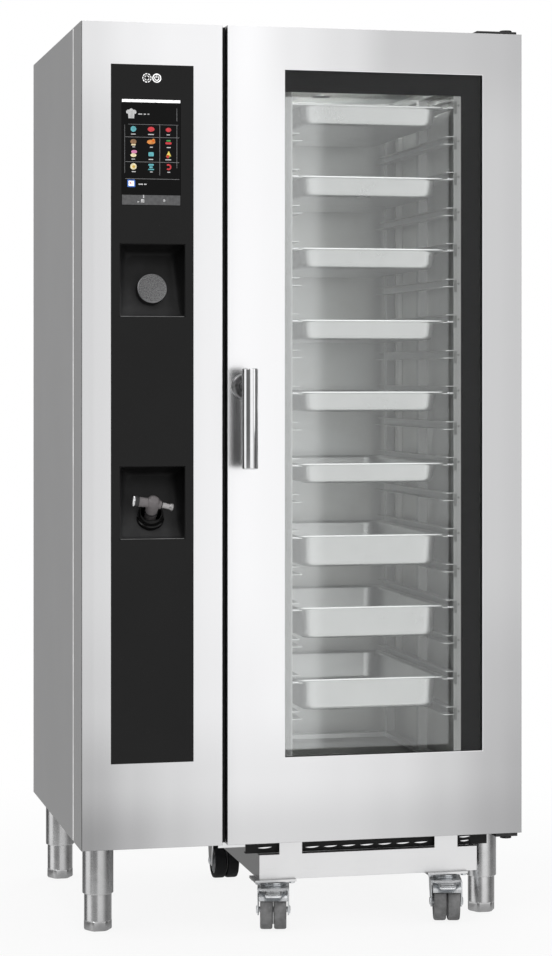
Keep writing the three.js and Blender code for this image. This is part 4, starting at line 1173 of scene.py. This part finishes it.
def wheels(end, side, tyre):
    """Twin wheels with six hub studs each, on one axle."""
    x = CASTER_X[side]
    center = spot(x, AXLE_Y[end], WHEEL_RADIUS)
    part = Part()
    for sign in (1, -1):
        axis = (sign, 0, 0)
        place = facing(center, axis, UP)
        part.lathe([
            (30, 1.9), (36.6, 1.6), (38.8, 2.6), (39.7, 4.6), (40, 8), (40, 20.5), (39.7, 24),
            (38.8, 26.2), (36.8, 27.3), (31, 27.0), (30, 26.0),
        ], place, 72)
        part.lathe([
            (6.1, 0.3), (30.1, 0.3), (30.1, 24.5), (27.5, 25.6), (25.5, 22.5), (13.5, 21.5),
            (11.5, 26.5), (6.1, 26.8),
        ], place, 56, slot=1)
        for k in range(6):
            angle = k * math.pi / 3
            stud = place @ Vector((0.0195 * math.cos(angle), 0.0195 * math.sin(angle), 0.0212))
            part.lathe([(0, 0), (2.9, 0), (2.6, 1.6), (0, 1.9)], facing(stud, axis), 16, slot=1)
    part.lathe(
        [(0, -34), (5.4, -34), (6, -33.3), (6, 33.3), (5.4, 34), (0, 34)],
        facing(center, RIGHT), 32, slot=2,
    )
    if end == "front":
        swing(part, x)
    part.build(
        f"{end}_wheels_{side}", [tyre, "wheel_hub", "zinc"], "wheel_rubber",
        f"wheel_{end}_{side}", 32, replaces=f"caster_wheel_{end}_{side}",
    )


# Side plate of the fork: y from the pivot, z
FORK_OUTLINE = [
    (-TRAIL - 11, 33), (-TRAIL - 7, 29.4), (-TRAIL, 28), (-TRAIL + 7, 29.4), (-TRAIL + 12, 33),
    (4, 58), (19.5, 76), (20, 83.6), (-TRAIL - 17, 83.6), (-TRAIL - 17.5, 66),
    (-TRAIL - 15, 50),
]


def fork(side):
    """Side plates with axle nuts, hood over the wheels, top plate and ball race."""
    x = CASTER_X[side]
    part = Part()
    for sign in (-1, 1):
        plate = facing(spot(x + sign * 31.5 - 1.5, PIVOT_Y, 0), RIGHT)
        part.prism(FORK_OUTLINE, plate, 3.0, bevel=0.5)
        part.lathe(
            [(0, 0), (8.4, 0), (8.4, 1.6), (7.2, 2.6), (0, 2.8)],
            facing(spot(x + sign * FORK_HALF, AXLE_Y["front"], WHEEL_RADIUS), (sign, 0, 0)), 6,
        )
    # hood section, concentric with the wheels: outer arc, then inner arc back
    angles = [math.radians(34 + 76 * i / 16) for i in range(17)]
    hood = [
        (-TRAIL - radius * math.cos(a), WHEEL_RADIUS + radius * math.sin(a))
        for radius, way in ((43.9, angles), (42.4, angles[::-1]))
        for a in way
    ]
    part.prism(hood, facing(spot(x - 29.7, PIVOT_Y, 0), RIGHT), 59.4, bevel=0.3)
    part.box(
        (x - FORK_HALF, PIVOT_Y - TRAIL - 17.5, 81.2), (x + FORK_HALF, PIVOT_Y + 20, 83.8), 1.1
    )
    part.lathe([
        (9.7, 83.4), (24, 83.4), (26.5, 84.6), (26.8, 86.4), (24.5, 87.6), (24.2, 88.2),
        (26.4, 89.2), (26.2, 90.6), (23, 91.2), (9.7, 91.2),
    ], facing(spot(x, PIVOT_Y, 0)))
    swing(part, x)
    part.build(
        "swivel_fork_" + side, "zinc", "zinc", "fork_" + side,
        replaces="caster_fork_front_" + side,
    )


# Pedal stations: y from the axle, z, half width
PEDAL = [
    (-20.6, 84.9, 29), (-26, 85.2, 29), (-32, 84.8, 21), (-38, 83.2, 18), (-44, 80.6, 18),
    (-50, 77.0, 17), (-52.4, 74.8, 14),
]
PEDAL_RIBS = [(-36, 85.3, 14), (-41.5, 83.4, 14), (-47, 80.4, 13)]
PEDAL_HALF_THICK = 1.25


def brake_pedal(side):
    """Curved pressed tread with raised ribs."""
    x = CASTER_X[side]
    axle = AXLE_Y["front"]
    part = Part()
    loops = []
    for i, (y, z, half) in enumerate(PEDAL):
        before = PEDAL[max(i - 1, 0)]
        after = PEDAL[min(i + 1, len(PEDAL) - 1)]
        along = Vector((0, after[0] - before[0], after[1] - before[1])).normalized()
        out = Vector((0, -along.z, along.y)) * PEDAL_HALF_THICK
        center = Vector((x, axle + y, z))
        wide = Vector((half, 0, 0))
        corners = (center - wide + out, center + wide + out, center + wide - out,
                   center - wide - out)
        loops.append([spot(*corner) for corner in corners])
    part.loft(loops)
    for y, z, half in PEDAL_RIBS:
        part.box((x - half, axle + y - 1.1, z - 1.4), (x + half, axle + y + 1.1, z + 0.2), 0.6, 2)
    swing(part, x)
    part.build(
        "brake_pedal_" + side, "zinc", "zinc", "brake_" + side,
        replaces="caster_brake_" + side,
    )


def caster_bolts():
    """Bolts of the caster plates and axle nuts of the rear casters."""
    part = Part()
    rear = AXLE_Y["rear"]
    for x in CASTER_X.values():
        for ends in ((PIVOT_Y - 17, PIVOT_Y + 27), (rear - 35, rear + 35)):
            for shift in (-36, 36):
                for y in ends:
                    part.lathe(
                        [(0, 0), (6.2, 0), (6.2, 3.4), (5.2, 4.2), (0, 4.4)],
                        facing(spot(x + shift, y, 92.1), DOWN), 6,
                    )
        for sign in (-1, 1):
            part.lathe(
                [(0, 0), (8.4, 0), (8.4, 1.8), (7.2, 2.8), (0, 3)],
                facing(spot(x + sign * FORK_HALF, rear, WHEEL_RADIUS), (sign, 0, 0)), 6,
            )
    part.build("caster_bolts", "zinc", "zinc", "trolley")


for side in CASTER_X:
    wheels("front", side, "grey_tyre")
    # rear tyres: the grey tyre darkened to near black as painted shade under the oven
    wheels("rear", side, "dark_tyre")
    fork(side)
    brake_pedal(side)
caster_bolts()

# ------------------------------------------------------------------ pans and rack
TOP_LEDGE_Z = 1721
LEDGE_PITCH = 76.1
LEDGES = 18
PANS = 9  # one on every second ledge
RACK_X = 637
PAN_WIDTH, PAN_LENGTH = 325, 530
PAN_FRONT_Y = 102
PAN_RIM = 11
PAN_SHEET = 0.9


def pan(index):
    """Pan with a rolled rim; the first six are shallower."""
    floor = -40 if index < 6 else -65
    well = -2 * PAN_RIM
    # Added to width and length, corner radius, height: up the inside, round the rim, down
    stations = [
        (well - 40, 14, floor + PAN_SHEET), (well - 26, 22, floor + PAN_SHEET + 1.6),
        (well - 16, 26, floor + 6), (well - 11, 28, floor + 12), (well - 2.6, 32, -3.2),
        (well - 0.8, 33, -0.6), (well + 3.6, 33, 1.1), (-9, 13.4, 1.1), (-7.4, 13.8, 1.9),
        (-5.2, 14.2, 3.0), (-2.6, 15, 3.3), (-0.6, 15.6, 2.5), (0, 16, 1.0),
        (-0.4, 15.8, -0.2), (-1.6, 15.2, -0.5), (well + 4.4, 33, -0.4),
        (well + 1.2, 33, -2.0), (well - 0.6, 32.6, -4.0), (well - 9.2, 29, floor + 11.4),
        (well - 14.2, 27, floor + 5), (well - 24.2, 22.8, floor + 1.0), (well - 40, 14, floor),
    ]
    bottom = TOP_LEDGE_Z - 2 * index * LEDGE_PITCH + 1
    part = Part()
    part.loft([
        [
            spot(x, y, bottom + rise)
            for x, y in rounded(
                PAN_WIDTH + margin, PAN_LENGTH + margin, radius, 8,
                RACK_X, PAN_FRONT_Y + PAN_LENGTH / 2,
            )
        ]
        for margin, radius, rise in stations
    ])
    part.build(
        f"gastronorm_pan_{index + 1}", "pan_steel", "steel", "trolley", 40,
        replaces=f"pan_{index + 1}",
    )


def ledge_stops():
    """Stop and rivet at the front of every right ledge; their darkened steel is painted shade for the
    notches there.
    """
    part = Part()
    x = RACK_X + 181
    for n in range(LEDGES):
        z = TOP_LEDGE_Z - n * LEDGE_PITCH
        part.box((x - 2.6, 83.6, z - 12), (x + 2.6, 86.2, z + 14), 0.8, 2)
        rivet = [(0, 0), (2.6, 0), (2.2, 1.2), (0, 1.5)]
        part.lathe(rivet, on_front(RACK_X + 188, z + 6, 86.0), 16)
    part.build("ledge_stops", "stop_steel", "steel_dark", "trolley")


for index in range(PANS):
    pan(index)
ledge_stops()
box_piece("ledge_front_folds", "polished_steel", "polished", [
    ((x, 86.6, z - 1.4), (x + 13.2, 89.4, z + 2.4))
    for z in (TOP_LEDGE_Z - 2 * i * LEDGE_PITCH for i in range(PANS))
    for x in (460.4, 800.4)
], bevel=0.7, segments=2, body="trolley")

# lamp strip at the right of the cavity, between two rails
box_piece(
    "cavity_lamp_rear", "lamp_strip", "polished", [((839.5, 596, 420), (844.4, 606, 1700))],
    bevel=1.0,
)
box_piece("cavity_lamp_rails", "steel_cavity", "steel", [
    ((833, y, 412), (844.6, y + 4.5, 1708)) for y in (590, 607.5)
], bevel=1.0)

# ------------------------------------------------------------------ back and roof
BACK_Y = 718
ROOF_Z = 1870


def screws(name, spots, axis, radius=4.2):
    part = Part()
    profile = [
        (0, 0), (radius, 0), (radius, 0.6), (radius * 0.86, 1.5), (radius * 0.5, 2.1),
        (radius * 0.45, 1.2), (0, 1.2),
    ]
    for place in spots:
        part.lathe(profile, facing(spot(*place), axis), 24)
    part.build(name, "polished_steel", "polished")


def back_covers():
    """Large and small raised cover."""
    part = Part()
    place = facing(spot(0, BACK_Y, 0), BACK, (-1, 0, 0))
    large = rounded(420, 620, 10, 5, 560, 950)
    small = rounded(190, 230, 8, 5, 190, 860)
    for outline, depth, bevel in ((large, 1.6, 0.6), (small, 3.0, 0.8)):
        part.prism([(-x, z) for x, z in outline], place, depth, bevel)
    part.build("back_covers", "steel_back", "steel_dark")


def water_inlets():
    """Two threaded stubs."""
    part = Part()
    for x in (120, 200):
        place = facing(spot(x, 714, 330), BACK)
        part.lathe([
            (8, 0), (17, 0), (17, 7), (13.4, 8.5), (13.4, 24), (12.4, 25.4), (10.5, 25.4),
            (8, 24),
        ], place, 32)
        for k in range(5):
            rise = k * 2.8
            part.lathe(
                [(13.2, 10.5 + rise), (14.2, 11.3 + rise), (13.2, 12.3 + rise)], place, 32
            )
    part.build("water_inlets", "polished_steel", "polished")


def cable_gland():
    part = Part()
    part.lathe(
        [(0, 0), (19, 0), (19, 7), (16, 9), (15, 18), (11, 22), (0, 22)],
        facing(spot(200, 720.5, 800), BACK), 24,
    )
    part.build("cable_gland", "black_moulding", "black_plastic")


def vent_collar():
    """Cap ring, sleeve and foot flange round the vent pipe; heights from the floor."""
    place = facing(spot(640, 560, 0))
    part = Part()
    part.lathe([
        (22.2, 1905), (30.6, 1905), (32, 1906.5), (32, 1911), (30.8, 1912), (22.8, 1912),
        (22.2, 1911),
    ], place)
    part.lathe([(22.2, 1874), (30.3, 1874), (30.3, 1905), (22.2, 1905)], place)
    part.lathe([(30, 1870.6), (41, 1870.6), (41, 1872.6), (33, 1874.2), (30, 1874.2)], place)
    part.build("vent_collar", "polished_steel", "polished")


screws(
    "back_screws",
    [(x, BACK_Y, z) for x in (32, 905) for z in (236, 500, 780, 1060, 1340, 1620, 1845)]
    + [(x, BACK_Y, z) for x in (250, 468, 690) for z in (228, 1852)],
    BACK,
)
screws("roof_screws", [(x, y, ROOF_Z) for x in (20, 330, 620, 917) for y in (150, 725)], UP)
back_covers()
screws(
    "back_cover_screws",
    [(x, BACK_Y + 1.6, z) for x in (366, 754) for z in (655, 950, 1245)]
    + [(x, BACK_Y + 3, z) for x in (106, 274) for z in (756, 964)],
    BACK, radius=3.4,
)
water_inlets()
cable_gland()
vent_collar()


# ------------------------------------------------------------------ floor, light, camera
def add_floor():
    """Pale floor that melts into the backdrop and is not seen by mirror rays."""
    bpy.ops.mesh.primitive_plane_add(size=60, location=(0, 0, -0.0004))
    floor = bpy.context.object
    floor.name = "floor"
    graph, surface = new_material("floor_paint")
    paint = graph.add("BsdfPrincipled", {"Roughness": 0.75, "Specular IOR Level": 0.2})
    place = graph.add("TexCoord").outputs["Object"]
    clouds = graph.noise(place, scale=2.0, detail=5.0)
    graph.put(paint.inputs["Base Color"], graph.ramp(clouds, [(0.3, 0.90), (0.7, 0.93)]))
    distance = graph.add("VectorMath", {0: place}, operation="LENGTH").outputs["Value"]
    far = graph.remap(distance, low=0.75, high=1.7)
    white = graph.add("Emission", {"Strength": 1.0})
    clear = graph.add("BsdfTransparent")
    rays = graph.add("LightPath").outputs
    distant = graph.mix_shaders(rays["Is Camera Ray"], clear, white)
    whitened = graph.calc("MULTIPLY", rays["Is Camera Ray"], 0.88)
    near = graph.mix_shaders(whitened, paint, white)
    seen = graph.mix_shaders(far, near, distant)
    graph.put(surface, graph.mix_shaders(rays["Is Glossy Ray"], seen, clear))
    floor.data.materials.append(MATERIALS["floor_paint"])


# Brightness round the studio: degrees from straight in front of the door, right positive
STUDIO = [
    (-180, 0.36), (-158, 0.35), (-150, 0.08), (-114, 0.08), (-106, 1.0), (-72, 1.0),
    (-64, 0.12), (-14, 0.13), (-7, 1.0), (27, 1.0), (36, 0.66), (50, 0.34), (58, 0.08),
    (82, 0.08), (90, 0.24), (112, 0.24), (122, 0.42), (150, 0.40), (164, 0.10), (170, 0.35),
    (180, 0.36),
]
# Share of even grey, from straight down (0) to straight up (1)
EVEN_GREY = [(0.0, 0.9), (0.31, 0.9), (0.385, 0.0), (0.66, 0.0), (0.86, 0.9), (1.0, 1.0)]


def add_world():
    """Studio of bright and dark panels for the reflections, plain white for the camera."""
    world = bpy.data.worlds.new("studio")
    bpy.context.scene.world = world
    graph = Graph(world)
    output = graph.add("OutputWorld")
    direction = graph.split(graph.add("TexCoord").outputs["Generated"])
    forward = graph.calc("MULTIPLY", direction["Y"], -1.0)
    azimuth = graph.calc("ARCTAN2", direction["X"], forward)
    panels = graph.ramp(
        graph.remap(azimuth, -math.pi, math.pi),
        [((degrees + 180) / 360, value) for degrees, value in STUDIO],
        "LINEAR",
    )
    even = graph.ramp(graph.remap(direction["Z"], -1, 1), EVEN_GREY)
    studio = graph.blend(even, panels, rgba(0.72))
    reflected = graph.add("Background", {"Color": studio, "Strength": 1.04})
    backdrop = graph.add("Background", {"Color": rgba(1.0), "Strength": 1.0})
    camera_ray = graph.add("LightPath").outputs["Is Camera Ray"]
    graph.put(output.inputs["Surface"], graph.mix_shaders(camera_ray, reflected, backdrop))


def area(name, place, target, size, power, color=(1, 1, 1), size_y=None):
    """Area light at place, turned to target; metres and watts."""
    light = bpy.data.lights.new(name, "AREA")
    light.energy = power
    light.color = color
    light.size = size
    if size_y:
        light.shape = "RECTANGLE"
        light.size_y = size_y
    lamp = bpy.data.objects.new(name, light)
    bpy.context.scene.collection.objects.link(lamp)
    lamp.location = place
    aim = Vector(target) - Vector(place)
    lamp.rotation_euler = aim.to_track_quat("-Z", "Y").to_euler()


def add_camera():
    lens = bpy.data.cameras.new("camera")
    camera = bpy.data.objects.new("camera", lens)
    bpy.context.scene.collection.objects.link(camera)
    camera.location = spot(-753, -5013, 1147)
    camera.rotation_euler = (math.radians(90), 0, -0.227)  # level, turned to the right
    lens.sensor_width = 36
    lens.lens = 93.878661
    lens.shift_y = -0.10564854
    lens.clip_end = 100
    bpy.context.scene.camera = camera
    bpy.context.scene.view_settings.view_transform = "Standard"


add_floor()
add_world()
area("key", (-2.4, -2.8, 3.4), target=(0, 0, 1.0), size=1.4, power=22, size_y=1.8)
area("fill", (3.0, -2.6, 1.8), target=(0, 0, 0.9), size=1.4, power=10, size_y=2.2)
area("top", (0, 0.2, 4.0), target=(0, 0, 0), size=2.4, power=26)
area("rim", (2.2, 2.6, 2.4), target=(0, 0, 1.0), size=1.6, power=20)
# two soft lamps inside the cavity
CAVITY_WHITE = (1.0, 1.0, 0.99)
area(
    "cavity_fill", spot(652, 64, 1050), target=spot(652, 300, 1050),
    size=0.40, power=1.16, color=CAVITY_WHITE, size_y=1.46,
)
area(
    "cavity_ceiling", spot(640, 250, 1752), target=spot(640, 690, 1786),
    size=0.30, power=0.42, color=CAVITY_WHITE, size_y=0.03,
)
add_camera()
